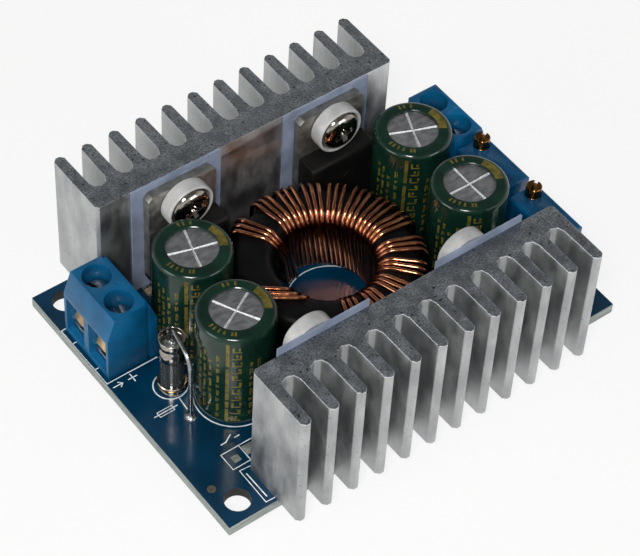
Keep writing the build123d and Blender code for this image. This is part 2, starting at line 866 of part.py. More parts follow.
def trimmer_body(y):
    """Moulded trimmer case on four feet, with a bore for its adjusting screw."""
    adjuster_y = y + trimmer_length / 2 - adjuster_inset_y
    with BuildPart() as case:
        with BuildSketch(Plane.XY.offset(board_top + trimmer_foot_height)):
            with Locations((trimmer_x, y)):
                Rectangle(trimmer_width, trimmer_length)
        extrude(amount=trimmer_height - trimmer_foot_height)
        chamfer(case.faces().sort_by(Axis.Z)[-1].edges(), trimmer_edge)
        with BuildSketch(Plane.XY.offset(board_top)):
            with Locations((trimmer_x, y)):
                with GridLocations(trimmer_width - trimmer_foot, trimmer_length - trimmer_foot, 2, 2):
                    Rectangle(trimmer_foot, trimmer_foot)
        extrude(amount=trimmer_foot_height)
        with BuildSketch(Plane.XY.offset(trimmer_top)):
            with Locations((adjuster_x, adjuster_y)):
                Circle(adjuster_diameter / 2 + adjuster_clearance)
        extrude(amount=-adjuster_engagement - adjuster_end_gap, mode=Mode.SUBTRACT)
    return case


def trimmer_adjuster(y):
    """Slotted brass adjusting screw."""
    adjuster_y = y + trimmer_length / 2 - adjuster_inset_y
    head = trimmer_top + adjuster_stand
    with BuildPart() as adjuster:
        with BuildSketch(Plane.XY.offset(trimmer_top - adjuster_engagement)):
            with Locations((adjuster_x, adjuster_y)):
                Circle(adjuster_diameter / 2)
        extrude(amount=adjuster_engagement + adjuster_stand)
        with BuildSketch(Plane.XY.offset(head - adjuster_slot_depth)):
            with Locations((adjuster_x, adjuster_y)):
                Rectangle(adjuster_diameter, adjuster_slot_width, rotation=30)
        extrude(amount=adjuster_slot_depth, mode=Mode.SUBTRACT)
    return adjuster


for place, y in trimmer_places.items():
    for name, piece in (
        (f"trimmer_body_{place}", trimmer_body(y)),
        (f"trimmer_adjuster_{place}", trimmer_adjuster(y)),
    ):
        piece.part.label = name
        export_step(piece.part, f"parts/{name}.step")

with BuildPart() as trimmer_wires:
    with BuildSketch():
        with Locations(*trimmer_pins):
            RegularPolygon(trimmer_pin_diameter / 2, lead_sides)
    extrude(amount=board_top + trimmer_foot_height)
trimmer_wires.part.label = "trimmer_wires"
export_step(trimmer_wires.part, "parts/trimmer_wires.step")

# Fuse
fuse_top = board_top + fuse_height
fuse_cap_floor = fuse_top - fuse_cap_recess
glass_bottom = board_top + fuse_cap_wall
glass_top = fuse_cap_floor - fuse_cap_wall


def fuse_disc(diameter):
    """Round outline on the fuse's axis, in the sketch that is open."""
    with Locations((fuse_x, fuse_y)):
        return RegularPolygon(diameter / 2, small_round_sides)


with BuildPart() as fuse_glass:
    with BuildSketch(Plane.XY.offset(glass_bottom)):
        fuse_disc(fuse_glass_diameter)
    extrude(amount=glass_top - glass_bottom)
    with BuildSketch(Plane.XY.offset(glass_bottom)):
        fuse_disc(fuse_glass_diameter - 2 * fuse_glass_wall)
    extrude(amount=glass_top - glass_bottom, mode=Mode.SUBTRACT)
fuse_glass.part.label = "fuse_glass"
export_step(fuse_glass.part, "parts/fuse_glass.step")

with BuildPart() as fuse_cap_lower:
    with BuildSketch(Plane.XY.offset(board_top)):
        fuse_disc(fuse_lower_cap_diameter)
    extrude(amount=fuse_lower_cap_length)
    with BuildSketch(Plane.XY.offset(glass_bottom)):
        fuse_disc(fuse_glass_diameter)
    extrude(amount=fuse_lower_cap_length, mode=Mode.SUBTRACT)
fuse_cap_lower.part.label = "fuse_cap_lower"
export_step(fuse_cap_lower.part, "parts/fuse_cap_lower.step")

with BuildPart() as fuse_cap_upper:
    with BuildSketch(Plane.XY.offset(fuse_top)):
        fuse_disc(fuse_upper_cap_diameter)
    extrude(amount=-fuse_upper_cap_length)
    with BuildSketch(Plane.XY.offset(fuse_top)):
        fuse_disc(fuse_upper_cap_diameter - 2 * fuse_cap_wall)
    extrude(amount=-fuse_cap_recess, mode=Mode.SUBTRACT)
    with BuildSketch(Plane.XY.offset(glass_top)):
        fuse_disc(fuse_glass_diameter)
    extrude(amount=-fuse_upper_cap_length, mode=Mode.SUBTRACT)
fuse_cap_upper.part.label = "fuse_cap_upper"
export_step(fuse_cap_upper.part, "parts/fuse_cap_upper.step")

with BuildPart() as fuse_element:
    with BuildSketch(Plane.XY.offset(glass_bottom)):
        with Locations((fuse_x, fuse_y)):
            RegularPolygon(fuse_element_diameter / 2, lead_sides)
    extrude(amount=glass_top - glass_bottom)
fuse_element.part.label = "fuse_element"
export_step(fuse_element.part, "parts/fuse_element.step")

with BuildPart() as fuse_wire_lower:
    with BuildSketch():
        with Locations((fuse_x, fuse_y)):
            RegularPolygon(fuse_wire_diameter / 2, lead_sides)
    extrude(amount=board_top)
fuse_wire_lower.part.label = "fuse_wire_lower"
export_step(fuse_wire_lower.part, "parts/fuse_wire_lower.step")

with BuildPart() as fuse_wire_upper:
    crest = fuse_cap_floor + fuse_wire_rise
    start = Vector(fuse_x, fuse_y, fuse_cap_floor)
    with BuildLine():
        FilletPolyline(
            start,
            (fuse_x, fuse_y, crest),
            (fuse_wire_pad_x, fuse_wire_pad_y, crest),
            (fuse_wire_pad_x, fuse_wire_pad_y, 0),
            radius=fuse_wire_bend,
        )
    with BuildSketch(Plane(origin=start, z_dir=(0, 0, 1))):
        RegularPolygon(fuse_wire_diameter / 2, lead_sides)
    sweep()
fuse_wire_upper.part.label = "fuse_wire_upper"
export_step(fuse_wire_upper.part, "parts/fuse_wire_upper.step")

# Control chip on the underside, and small parts on both sides of the board
with BuildPart() as control_chip:
    with BuildSketch(Plane.XY.offset(-chip_stand_off)):
        with Locations((chip_x, chip_y)):
            Rectangle(chip_length, chip_width)
    extrude(amount=-chip_height)
    chamfer(control_chip.faces().sort_by(Axis.Z)[0].edges(), chip_stand_off)
control_chip.part.label = "control_chip"
export_step(control_chip.part, "parts/control_chip.step")

with BuildPart() as control_chip_legs:
    for side in (-1, 1):
        body_side = chip_y + side * chip_width / 2
        knee = body_side + side * (chip_leg_span / 2 - chip_width / 2 - chip_leg_foot)
        toe = chip_y + side * chip_leg_span / 2
        shoulder_z = -chip_stand_off - chip_height / 2
        for place in range(chip_legs_per_side):
            x = chip_x + (place - (chip_legs_per_side - 1) / 2) * chip_leg_pitch
            with BuildSketch(Plane(origin=(x, 0, 0), x_dir=(0, 1, 0), z_dir=(1, 0, 0))):
                with BuildLine():
                    Polyline(
                        (body_side, shoulder_z),
                        (knee, shoulder_z),
                        (knee, -chip_leg_thickness),
                        (toe, -chip_leg_thickness),
                        (toe, 0),
                        (knee - side * chip_leg_thickness, 0),
                        (knee - side * chip_leg_thickness, shoulder_z + chip_leg_thickness),
                        (body_side, shoulder_z + chip_leg_thickness),
                        close=True,
                    )
                make_face()
            extrude(amount=chip_leg_width / 2, both=True)
control_chip_legs.part.label = "control_chip_legs"
export_step(control_chip_legs.part, "parts/control_chip_legs.step")

with BuildPart() as small_parts:
    with BuildSketch():
        with Locations((small_parts_x, small_parts_y)):
            with GridLocations(
                small_parts_pitch_x,
                small_parts_pitch_y,
                small_parts_columns,
                small_parts_rows,
            ):
                Rectangle(small_part_length, small_part_width)
    extrude(amount=-small_part_height)
    with BuildSketch(Plane.XY.offset(board_top)):
        with Locations((top_part_x, top_part_y)):
            Rectangle(small_part_width, small_part_length)
    extrude(amount=small_part_height)
small_parts.part.label = "small_parts"
export_step(small_parts.part, "parts/small_parts.step")
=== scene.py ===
"""Looks of a buck-boost converter module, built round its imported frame. Metres, +Z up."""

import logging
import math
from collections.abc import Callable, Iterator, Mapping, Sequence
from contextlib import contextmanager
from dataclasses import dataclass
from enum import Enum

import bpy
from mathutils import Matrix, Vector

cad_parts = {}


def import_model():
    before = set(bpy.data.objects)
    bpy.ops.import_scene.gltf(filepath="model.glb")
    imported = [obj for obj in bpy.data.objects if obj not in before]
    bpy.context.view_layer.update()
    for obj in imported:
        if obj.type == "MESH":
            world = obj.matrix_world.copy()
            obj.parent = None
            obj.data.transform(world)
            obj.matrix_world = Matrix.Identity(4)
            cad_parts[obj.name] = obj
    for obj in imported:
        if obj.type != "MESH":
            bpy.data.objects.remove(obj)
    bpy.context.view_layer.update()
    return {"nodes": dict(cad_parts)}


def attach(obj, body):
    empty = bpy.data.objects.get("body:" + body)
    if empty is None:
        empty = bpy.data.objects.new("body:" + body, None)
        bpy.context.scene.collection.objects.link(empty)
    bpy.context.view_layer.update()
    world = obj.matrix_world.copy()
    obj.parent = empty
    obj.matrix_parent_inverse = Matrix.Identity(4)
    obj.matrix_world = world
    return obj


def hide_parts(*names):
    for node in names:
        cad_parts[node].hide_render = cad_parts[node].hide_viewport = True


MM = 0.001
# Edges sharper than these stay sharp: on pieces in general, on rods and on flat facets
SMOOTH_ANGLE = math.radians(32)
ROD_ANGLE = math.radians(60)
FACET_ANGLE = math.radians(1)
# Most of a stretch of wire that one bend may take
BEND_SHARE = 0.48
# Points closer than this, in metres, become one
WELD = 1e-6
# Blender's noise seldom leaves this range, which is spread from 0 to 1
NOISE_LOW, NOISE_HIGH = 0.35, 0.65
# Sockets of a Mix node: its factor, two numbers, two colours and the colour that comes out
FACTOR, NUMBER_A, NUMBER_B, COLOUR_A, COLOUR_B, COLOUR_OUT = 0, 2, 3, 6, 7, 2
log = logging.getLogger("converter")

Point = tuple[float, float, float]
Spot = tuple[float, float]
Footing = tuple[float, float, float, float]
Profile = Sequence[Spot]
Piece = bpy.types.Object
Socket = bpy.types.NodeSocket


def linear(colour: str) -> tuple[float, float, float, float]:
    """Turn an sRGB hex colour into linear red, green, blue and a full alpha.

    Args:
        colour: the colour, such as #00263b.

    Returns:
        Its four channels.
    """
    channels = [int(colour[start : start + 2], 16) / 255 for start in (1, 3, 5)]
    red, green, blue = (
        c / 12.92 if c <= 0.04045 else ((c + 0.055) / 1.055) ** 2.4 for c in channels
    )
    return red, green, blue, 1.0


class Body(Enum):
    """Bodies of the frame that the pieces ride on."""

    BASE = "base"
    ADJUSTER_NEAR = "adjuster_near"
    ADJUSTER_FAR = "adjuster_far"


class Nodes:
    """A node tree in the making."""

    def __init__(self, tree: bpy.types.NodeTree) -> None:
        """Take the tree."""
        self.tree = tree

    def give(self, socket: Socket, value: object) -> None:
        """Link a socket to another one, or set it to a number, a vector or a hex colour.

        Args:
            socket: the socket that takes the value.
            value: the other socket, or the value.
        """
        if isinstance(value, Socket):
            self.tree.links.new(value, socket)
        else:
            socket.default_value = linear(value) if isinstance(value, str) else value

    def add(
        self,
        kind: str,
        inputs: Mapping[str | int, object] | None = None,
        output: str | int = 0,
        **settings: object,
    ) -> Socket:
        """Add a node.

        Args:
            kind: the node's type.
            inputs: values or sockets for its inputs, by name or number.
            output: name or number of the output that is wanted.
            settings: the node's own settings.

        Returns:
            The output that is wanted.
        """
        made = self.tree.nodes.new(kind)
        for name, value in settings.items():
            setattr(made, name, value)
        for name, value in (inputs or {}).items():
            self.give(made.inputs[name], value)
        return made.outputs[output]

    def any_ray(self, *kinds: str) -> Socket:
        """1 for rays of the kinds that the Light Path node names, 0 for the others.

        Args:
            kinds: names of the Light Path node's outputs.

        Returns:
            The socket that carries it.
        """
        path = self.add("ShaderNodeLightPath").node.outputs
        found = path[kinds[0]]
        for kind in kinds[1:]:
            found = self.add("ShaderNodeMath", {0: found, 1: path[kind]}, operation="MAXIMUM")
        return found


@dataclass(frozen=True)
class Layer:
    """A colour that covers another one where a pattern is strong."""

    colour: str | Socket
    pattern: Socket
    cover: float = 1.0
    start: float = 0.0
    full: float = 1.0


class Surface(Nodes):
    """A material in the making, with its shader and the piece's own coordinates at hand."""

    def __init__(self, name: str) -> None:
        """Start a material, called what the real one is.

        Args:
            name: the real material's name.
        """
        self.material = bpy.data.materials.new(name)
        self.material.use_nodes = True
        super().__init__(self.material.node_tree)
        self.shader = self.tree.nodes["Principled BSDF"]
        self.place = self.add("ShaderNodeTexCoord", output="Object")

    def wear(self, **values: object) -> None:
        """Set or link the shader's inputs, with underscores for the spaces in their names.

        Args:
            values: a value or a socket for each input.
        """
        for name, value in values.items():
            self.give(self.shader.inputs[name.replace("_", " ")], value)

    def pattern(self, size: float, stretch: Point = (1, 1, 1), detail: float = 3.0) -> Socket:
        """Uneven patches spread from 0 to 1.

        Args:
            size: width of a patch in millimetres.
            stretch: how many times longer a patch is along each axis.
            detail: how much finer structure it has.

        Returns:
            The socket that carries the pattern.
        """
        scale = tuple(1 / along for along in stretch)
        placed = self.add("ShaderNodeMapping", {"Vector": self.place, "Scale": scale})
        look = {"Vector": placed, "Scale": 1 / (size * MM), "Detail": detail}
        noise = self.add("ShaderNodeTexNoise", look)
        spread = {"Value": noise, "From Min": NOISE_LOW, "From Max": NOISE_HIGH}
        return self.add("ShaderNodeMapRange", spread, clamp=False)

    def layered(self, base: str | Socket, *layers: Layer) -> Socket:
        """Lay colours over one another.

        Args:
            base: the colour underneath.
            layers: the colours over it, from the lowest up.

        Returns:
            The socket that carries the colour.
        """
        for layer in layers:
            spread = {"From Min": layer.start, "From Max": layer.full, "To Max": layer.cover}
            share = self.add("ShaderNodeMapRange", {"Value": layer.pattern, **spread})
            mixed = {FACTOR: share, COLOUR_A: base, COLOUR_B: layer.colour}
            base = self.add("ShaderNodeMix", mixed, COLOUR_OUT, data_type="RGBA")
        return base

    def faces_up(self, edge: float = 0.7) -> Socket:
        """1 on faces that look straight up or down, 0 on the others.

        Args:
            edge: how upright a face's normal has to be.

        Returns:
            The socket that carries it.
        """
        normal = self.add("ShaderNodeNewGeometry", output="Normal")
        upward = self.add("ShaderNodeSeparateXYZ", {0: normal}, "Z")
        size = self.add("ShaderNodeMath", {0: upward}, operation="ABSOLUTE")
        return self.add("ShaderNodeMath", {0: size, 1: edge}, operation="GREATER_THAN")


@dataclass(frozen=True)
class Finish:
    """A surface whose colour and gloss drift from patch to patch, over a fine grain in relief.

    Sizes are in millimetres, and colours are sRGB hex values.
    """

    name: str
    dark: str
    light: str
    gloss: tuple[float, float]
    metallic: float = 0.0
    patch: float = 3.0
    grain: float = 0.3
    depth: float = 0.008
    stretch: Point = (1, 1, 1)
    coat: float = 0.0
    ior: float = 1.5

    def material(self) -> bpy.types.Material:
        """Make the material."""
        surface = Surface(self.name)
        patches = surface.pattern(self.patch, self.stretch)
        grain = surface.pattern(self.grain, self.stretch)
        low, high = self.gloss
        gloss = {"Value": grain, "To Min": low, "To Max": high}
        relief = {"Height": grain, "Distance": self.depth * MM}
        surface.wear(
            Base_Color=surface.layered(self.dark, Layer(self.light, patches)),
            Roughness=surface.add("ShaderNodeMapRange", gloss),
            Normal=surface.add("ShaderNodeBump", relief),
            Metallic=self.metallic,
            IOR=self.ior,
            Coat_Weight=self.coat,
        )
        return surface.material


@dataclass(frozen=True)
class MaskedLaminate:
    """Glossy navy solder mask on a glass fibre board, its bare grey-green edge and painted shade in
    its bores.
    """

    name: str = "solder_mask_on_glass_fibre"
    mask_dark: str = "#00263b"
    mask_light: str = "#00334f"
    edge_dark: str = "#767c78"
    edge_light: str = "#979d99"
    # Near-black painted shade on the walls of the bores
    bore: str = "#171613"
    cloud: float = 9.0
    weave: float = 0.5
    fibre: float = 0.25
    fibre_stretch: Point = (12, 12, 1)
    edge_rough: float = 0.75
    mask_rough: float = 0.16
    depth: float = 0.0015
    ior: float = 1.52
    half_size: tuple[float, float] = (31.3, 22.4)
    rim: float = 0.05

    def material(self) -> bpy.types.Material:
        """Make the material: a weave under the mask, layers of fibre at the edge, painted shade in
        the bores.
        """
        surface = Surface(self.name)
        up = surface.faces_up()
        cloud = surface.pattern(self.cloud)
        weave = surface.pattern(self.weave, detail=1.0)
        fibre = surface.pattern(self.fibre, self.fibre_stretch)
        rims = []
        for axis, half in zip("XY", self.half_size):
            along = surface.add("ShaderNodeSeparateXYZ", {0: surface.place}, axis)
            reach = surface.add("ShaderNodeMath", {0: along}, operation="ABSOLUTE")
            beyond = {0: reach, 1: (half - self.rim) * MM}
            rims.append(surface.add("ShaderNodeMath", beyond, operation="GREATER_THAN"))
        on_rim = surface.add("ShaderNodeMath", dict(enumerate(rims)), operation="MAXIMUM")
        mask = surface.layered(self.mask_dark, Layer(self.mask_light, cloud))
        fibres = surface.layered(self.edge_dark, Layer(self.edge_light, fibre))
        # Upright faces inside the rim take the painted bore shade, those on the rim the fibres
        edge = surface.layered(self.bore, Layer(fibres, on_rim))
        gloss = {FACTOR: up, NUMBER_A: self.edge_rough, NUMBER_B: self.mask_rough}
        height = surface.add("ShaderNodeMix", {FACTOR: up, NUMBER_A: fibre, NUMBER_B: weave})
        relief = {"Height": height, "Distance": self.depth * MM}
        surface.wear(
            Base_Color=surface.layered(edge, Layer(mask, up)),
            Roughness=surface.add("ShaderNodeMix", gloss),
            Normal=surface.add("ShaderNodeBump", relief),
            IOR=self.ior,
        )
        return surface.material


@dataclass(frozen=True)
class SawnExtrusion:
    """Extruded aluminium with die lines up its fins, and dark saw marks and pits on its ends."""

    name: str = "extruded_aluminium_sawn_ends"
    side_dark: str = "#a2a3a4"
    side_light: str = "#bfc0c0"
    cut_dark: str = "#63676b"
    cut_light: str = "#a3a8ad"
    pit: str = "#1c1c1c"
    stain: float = 2.6
    blotch: float = 1.6
    pit_size: float = 0.4
    pit_start: float = 1.12
    pit_full: float = 1.3
    die_line: float = 0.3
    saw_line: float = 0.17
    side_rough: float = 0.46
    cut_rough: float = 0.5
    drift: tuple[float, float] = (-0.06, 0.1)
    depth: float = 0.012

    def material(self) -> bpy.types.Material:
        """Make the material: die lines along Z on the sides, saw marks along X on top."""
        surface = Surface(self.name)
        up = surface.faces_up()
        lines = surface.pattern(self.die_line, (1, 1, 30))
        stains = surface.pattern(self.stain, (1, 1, 2))
        saw = surface.pattern(self.saw_line, (2, 1, 1))
        blotches = surface.pattern(self.blotch)
        pits = surface.pattern(self.pit_size, detail=1.0)
        side = surface.layered(
            self.side_dark,
            Layer(self.side_light, stains),
            Layer(self.side_dark, lines, cover=0.3),
            Layer(self.cut_dark, pits, cover=0.5, start=self.pit_start, full=self.pit_full),
        )
        cut = surface.layered(
            self.cut_dark,
            Layer(self.cut_light, saw),
            Layer(self.cut_dark, blotches, cover=0.6),
            Layer(self.pit, pits, start=self.pit_start, full=self.pit_full),
        )
        rough = {FACTOR: up, NUMBER_A: self.side_rough, NUMBER_B: self.cut_rough}
        drift = {"Value": stains, "To Min": self.drift[0], "To Max": self.drift[1]}
        gloss = (
            surface.add("ShaderNodeMix", rough),
            surface.add("ShaderNodeMapRange", drift),
        )
        faint = surface.add("ShaderNodeMapRange", {"Value": lines, "To Max": 0.2})
        height = surface.add("ShaderNodeMix", {FACTOR: up, NUMBER_A: faint, NUMBER_B: saw})
        relief = {"Height": height, "Distance": self.depth * MM}
        surface.wear(
            Base_Color=surface.layered(side, Layer(cut, up)),
            Roughness=surface.add("ShaderNodeMath", dict(enumerate(gloss)), operation="ADD"),
            Normal=surface.add("ShaderNodeBump", relief),
            Metallic=1.0,
        )
        return surface.material


@dataclass(frozen=True)
class ClearGlass:
    """Glass tube tinted grey as a painted dark reflection: sharp reflections, and the element seen
    dimly inside.
    """

    name: str = "glass_tube_painted_dark"
    # Grey tint of the clear glass, a painted dark reflection
    dark: str = "#6c7070"
    light: str = "#8f9494"
    gloss: tuple[float, float] = (0.02, 0.07)
    clear: float = 0.85
    ior: float = 1.51
    draw: float = 0.4
    depth: float = 0.002

    def material(self) -> bpy.types.Material:
        """Make the material, with faint drawn lines along the tube."""
        surface = Surface(self.name)
        draw = surface.pattern(self.draw, (1, 1, 20))
        gloss = {"Value": draw, "To Min": self.gloss[0], "To Max": self.gloss[1]}
        relief = {"Height": draw, "Distance": self.depth * MM}
        surface.wear(
            Base_Color=surface.layered(self.dark, Layer(self.light, draw)),
            Roughness=surface.add("ShaderNodeMapRange", gloss),
            Transmission_Weight=self.clear,
            IOR=self.ior,
            Normal=surface.add("ShaderNodeBump", relief),
        )
        return surface.material


@dataclass(frozen=True)
class PaperFloor:
    """Pale seamless paper that looks white and still takes the module's shadow."""

    name: str = "pale_paper"
    dark: str = "#e6e6e4"
    light: str = "#ececea"
    tooth: float = 0.8
    depth: float = 0.01
    rough: float = 0.9
    shadow_share: float = 0.2

    def material(self) -> bpy.types.Material:
        """Make the material: mostly plain white where it is seen, matt paper for the light."""
        surface = Surface(self.name)
        tooth = surface.pattern(self.tooth)
        relief = {"Height": tooth, "Distance": self.depth * MM}
        surface.wear(
            Base_Color=surface.layered(self.dark, Layer(self.light, tooth)),
            Roughness=self.rough,
            Normal=surface.add("ShaderNodeBump", relief),
        )
        white = surface.add("ShaderNodeEmission", {"Color": "#ffffff", "Strength": 1.0})
        seen = surface.any_ray("Is Camera Ray", "Is Glossy Ray", "Is Transmission Ray")
        lit = {0: seen, 1: 1 - self.shadow_share}
        share = surface.add("ShaderNodeMath", lit, operation="MULTIPLY")
        mixed = {0: share, 1: surface.shader.outputs[0], 2: white}
        output = surface.tree.nodes["Material Output"]
        surface.give(output.inputs["Surface"], surface.add("ShaderNodeMixShader", mixed))
        return surface.material


# Printed legend ink, a thin white print with a slightly chalky face
LEGEND = Finish("screen_printed_ink", "#b9bfc2", "#e4e8ea", (0.5, 0.7), patch=1.0, grain=0.12)
# Tinned copper, bright and a little lumpy, dulled by flux
SOLDER = Finish(
    "tin_solder", "#8d8f90", "#c9cbcc", (0.15, 0.38),
    metallic=1.0, patch=0.9, grain=0.35, depth=0.02,
)
# Hot-tinned pad, flat grey with dull patches
TINNED_PAD = Finish(
    "hot_tinned_copper", "#868a84", "#b4bab4", (0.4, 0.6),
    metallic=0.7, patch=0.5,
)
# Silicone sheet, matt periwinkle with a dusty bloom
SILICONE = Finish(
    "silicone_pad", "#6d778b", "#8690a4", (0.6, 0.8),
    patch=4.0, grain=0.4, depth=0.01, ior=1.41,
)
# Tin-plated copper plate, softly brushed across
TIN_PLATE = Finish(
    "tin_plated_copper", "#86847e", "#a9a7a1", (0.42, 0.58),
    metallic=1.0, patch=1.2, grain=0.2, depth=0.012,
)
# Epoxy moulding compound, charcoal with a fine spark-eroded grain
EPOXY = Finish(
    "epoxy_moulding", "#0a0909", "#131211", (0.4, 0.55),
    patch=2.5, grain=0.14, depth=0.006, ior=1.3,
)
# Nylon, off-white and waxy
NYLON = Finish(
    "moulded_nylon", "#a4a4a3", "#bbbbba", (0.28, 0.4),
    patch=2.0, grain=0.3, depth=0.004, ior=1.53,
)
# Nickel plate, a dark mirror with soft dents
NICKEL = Finish(
    "nickel_plated_steel", "#8b857d", "#aca69e", (0.08, 0.18),
    metallic=1.0, patch=1.2, depth=0.002,
)
# Shrunk PVC sleeve, bottle green and glossy with slight ripples
SLEEVE = Finish(
    "shrunk_pvc_sleeve", "#082019", "#0f2d21", (0.12, 0.2),
    patch=3.0, grain=2.2, depth=0.012, ior=1.42,
)
# Gold-coloured print on the sleeve
GOLD_PRINT = Finish(
    "gold_sleeve_print", "#5a5120", "#7e7132", (0.25, 0.4),
    patch=0.8, grain=0.2, depth=0.003, metallic=0.4,
)
# Drawn aluminium, bright with faint turning marks
DRAWN_CAN = Finish(
    "drawn_aluminium", "#898a8c", "#abacae", (0.38, 0.5),
    metallic=1.0, patch=0.6, grain=0.2, stretch=(2, 1, 1),
)
# Stamped score, its facets painted light: a painted highlight that shows from every side
SCORE_PAINTED_HIGHLIGHT = Finish(
    "score_painted_highlight", "#b9bbbd", "#dcdee0", (0.5, 0.62),
    metallic=0.6, patch=0.5, grain=0.2, depth=0.004,
)
# Coated ferrite, black with an orange-peel skin
FERRITE = Finish(
    "coated_ferrite", "#040405", "#0a0a0b", (0.34, 0.5),
    patch=2.5, grain=0.5, depth=0.012, ior=1.25,
)
# Enamelled copper, deep brown-orange under clear varnish
COPPER = Finish(
    "enamelled_copper", "#955438", "#c98558", (0.14, 0.24),
    metallic=1.0, patch=2.2, grain=0.7, depth=0.002, coat=0.8,
)
# Moulded polyamide, mid blue with a soft satin face
POLYAMIDE = Finish(
    "blue_polyamide", "#00476c", "#005a86", (0.34, 0.46),
    patch=3.5, grain=0.35, depth=0.005, ior=1.42,
)
# Zinc plate, pale and bluish
ZINC = Finish(
    "zinc_plated_steel", "#8c9196", "#b2b6ba", (0.16, 0.3),
    metallic=1.0, patch=0.9, depth=0.003,
)
# Phosphor bronze strip, tan and dull
BRONZE = Finish(
    "phosphor_bronze", "#b0946c", "#d6bb92", (0.35, 0.5),
    metallic=0.8, patch=1.0, stretch=(1, 1, 6),
)
# Nickel-plated brass cap, warm grey mirror
CAP_METAL = Finish(
    "nickel_plated_brass", "#948d86", "#b5aea6", (0.06, 0.16),
    metallic=1.0, patch=1.0, depth=0.002,
)
# Polyester case, deep blue and glossy
TRIMMER_CASE = Finish(
    "moulded_polyester", "#003858", "#004c76", (0.2, 0.32),
    patch=3.0, grain=0.3, depth=0.003, ior=1.45,
)
# Turned brass, yellow with fine tool lines
BRASS = Finish(
    "turned_brass", "#5c3d20", "#866034", (0.16, 0.28),
    metallic=1.0, patch=0.8, grain=0.1, depth=0.002,
)
# Tinned wire, grey and slightly drawn
TINNED_WIRE = Finish(
    "tinned_wire", "#7b7e80", "#9da0a2", (0.18, 0.3),
    metallic=1.0, patch=1.2, grain=0.4, depth=0.001,
)
# Sintered ceramic of chip parts, tan with a chalky grain
CERAMIC = Finish(
    "sintered_ceramic", "#7a6a52", "#9a886c", (0.5, 0.65),
    patch=0.4, grain=0.1, depth=0.004,
)
# Resin that fills a via, brown-grey under thin mask
VIA_RESIN = Finish(
    "via_resin", "#3b382f", "#555044", (0.3, 0.5),
    patch=0.4, grain=0.15, depth=0.006,
)
# Mask over raised copper, brighter than over the laminate
MASKED_COPPER = Finish(
    "solder_mask_on_copper", "#063f63", "#0a4d76", (0.14, 0.2),
    patch=4.0, grain=0.6, depth=0.003,
)
MASK = MaskedLaminate()
ALUMINIUM = SawnExtrusion()
GLASS = ClearGlass()
PAPER = PaperFloor()


def deselect() -> None:
    """Leave edit mode and deselect everything."""
    if bpy.context.mode != "OBJECT":
        bpy.ops.object.mode_set(mode="OBJECT")
    bpy.ops.object.select_all(action="DESELECT")


def select_only(*pieces: Piece) -> None:
    """Select some pieces and nothing else, with the first one active.

    Args:
        pieces: the pieces to select.
    """
    deselect()
    for piece in pieces:
        piece.select_set(True)
    bpy.context.view_layer.objects.active = pieces[0]


@contextmanager
def editing(piece: Piece, mode: str = "VERT") -> Iterator[None]:
    """Edit a piece's mesh, with all of it selected.

    Args:
        piece: the piece to edit.
        mode: VERT, EDGE or FACE.
    """
    select_only(piece)
    bpy.ops.object.mode_set(mode="EDIT")
    bpy.ops.mesh.select_mode(type=mode)
    bpy.ops.mesh.select_all(action="SELECT")
    yield
    bpy.ops.object.mode_set(mode="OBJECT")


def pick_faces(piece: Piece, wanted: Callable[[Vector, Vector], bool]) -> None:
    """Select, in edit mode, the faces whose centre and normal pass a test.

    Args:
        piece: the piece being edited.
        wanted: the test, given a face's centre and normal.
    """
    bpy.ops.mesh.select_mode(type="FACE")
    bpy.ops.mesh.select_all(action="DESELECT")
    bpy.ops.object.mode_set(mode="OBJECT")
    for face in piece.data.polygons:
        face.select = wanted(face.center, face.normal)
    bpy.ops.object.mode_set(mode="EDIT")


def settled(piece: Piece) -> Piece:
    """Put a piece's place, turn and scale into its mesh.

    Args:
        piece: the piece.

    Returns:
        The same piece.
    """
    select_only(piece)
    bpy.ops.object.transform_apply(location=True, rotation=True, scale=True)
    return piece


def mended(piece: Piece) -> Piece:
    """Merge a mesh's doubles and turn its faces outwards.

    Args:
        piece: the piece.

    Returns:
        The same piece.
    """
    with editing(piece):
        bpy.ops.mesh.remove_doubles(threshold=WELD)
        bpy.ops.mesh.normals_make_consistent(inside=False)
    return piece


def smoothed(piece: Piece, angle: float = SMOOTH_ANGLE) -> Piece:
    """Shade a piece smooth, apart from its sharp edges.

    Args:
        piece: the piece.
        angle: edges sharper than this, in radians, stay sharp.

    Returns:
        The same piece.
    """
    select_only(piece)
    bpy.ops.object.shade_smooth_by_angle(angle=angle)
    return piece


def rounded(piece: Piece, width: float, segments: int = 2, angle: float = 35.0) -> Piece:
    """Round a piece's sharp edges.

    Args:
        piece: the piece.
        width: how far the rounding reaches from the edge, in millimetres.
        segments: faces across the rounding.
        angle: edges sharper than this many degrees are rounded.

    Returns:
        The same piece, shaded smooth.
    """
    bevel = piece.modifiers.new("edge_rounding", "BEVEL")
    bevel.width = width * MM
    bevel.segments = segments
    bevel.limit_method = "ANGLE"
    bevel.angle_limit = math.radians(angle)
    select_only(piece)
    bpy.ops.object.modifier_apply(modifier=bevel.name)
    return smoothed(piece)


def joined(name: str, pieces: Sequence[Piece]) -> Piece:
    """Join pieces into one and name it.

    Args:
        name: the joined piece's name.
        pieces: the pieces to join.

    Returns:
        The joined piece.
    """
    select_only(*pieces)
    if len(pieces) > 1:
        bpy.ops.object.join()
    pieces[0].name = name
    pieces[0].data.name = name
    return pieces[0]


def cut(piece: Piece, cutter: Piece) -> Piece:
    """Cut one piece out of another, and remove the cutter.

    Args:
        piece: the piece that is cut.
        cutter: the piece that cuts it.

    Returns:
        The cut piece.
    """
    boolean = piece.modifiers.new("cut", "BOOLEAN")
    boolean.operation = "DIFFERENCE"
    boolean.solver = "EXACT"
    boolean.object = cutter
    select_only(piece)
    bpy.ops.object.modifier_apply(modifier=boolean.name)
    bpy.data.objects.remove(cutter)
    return piece


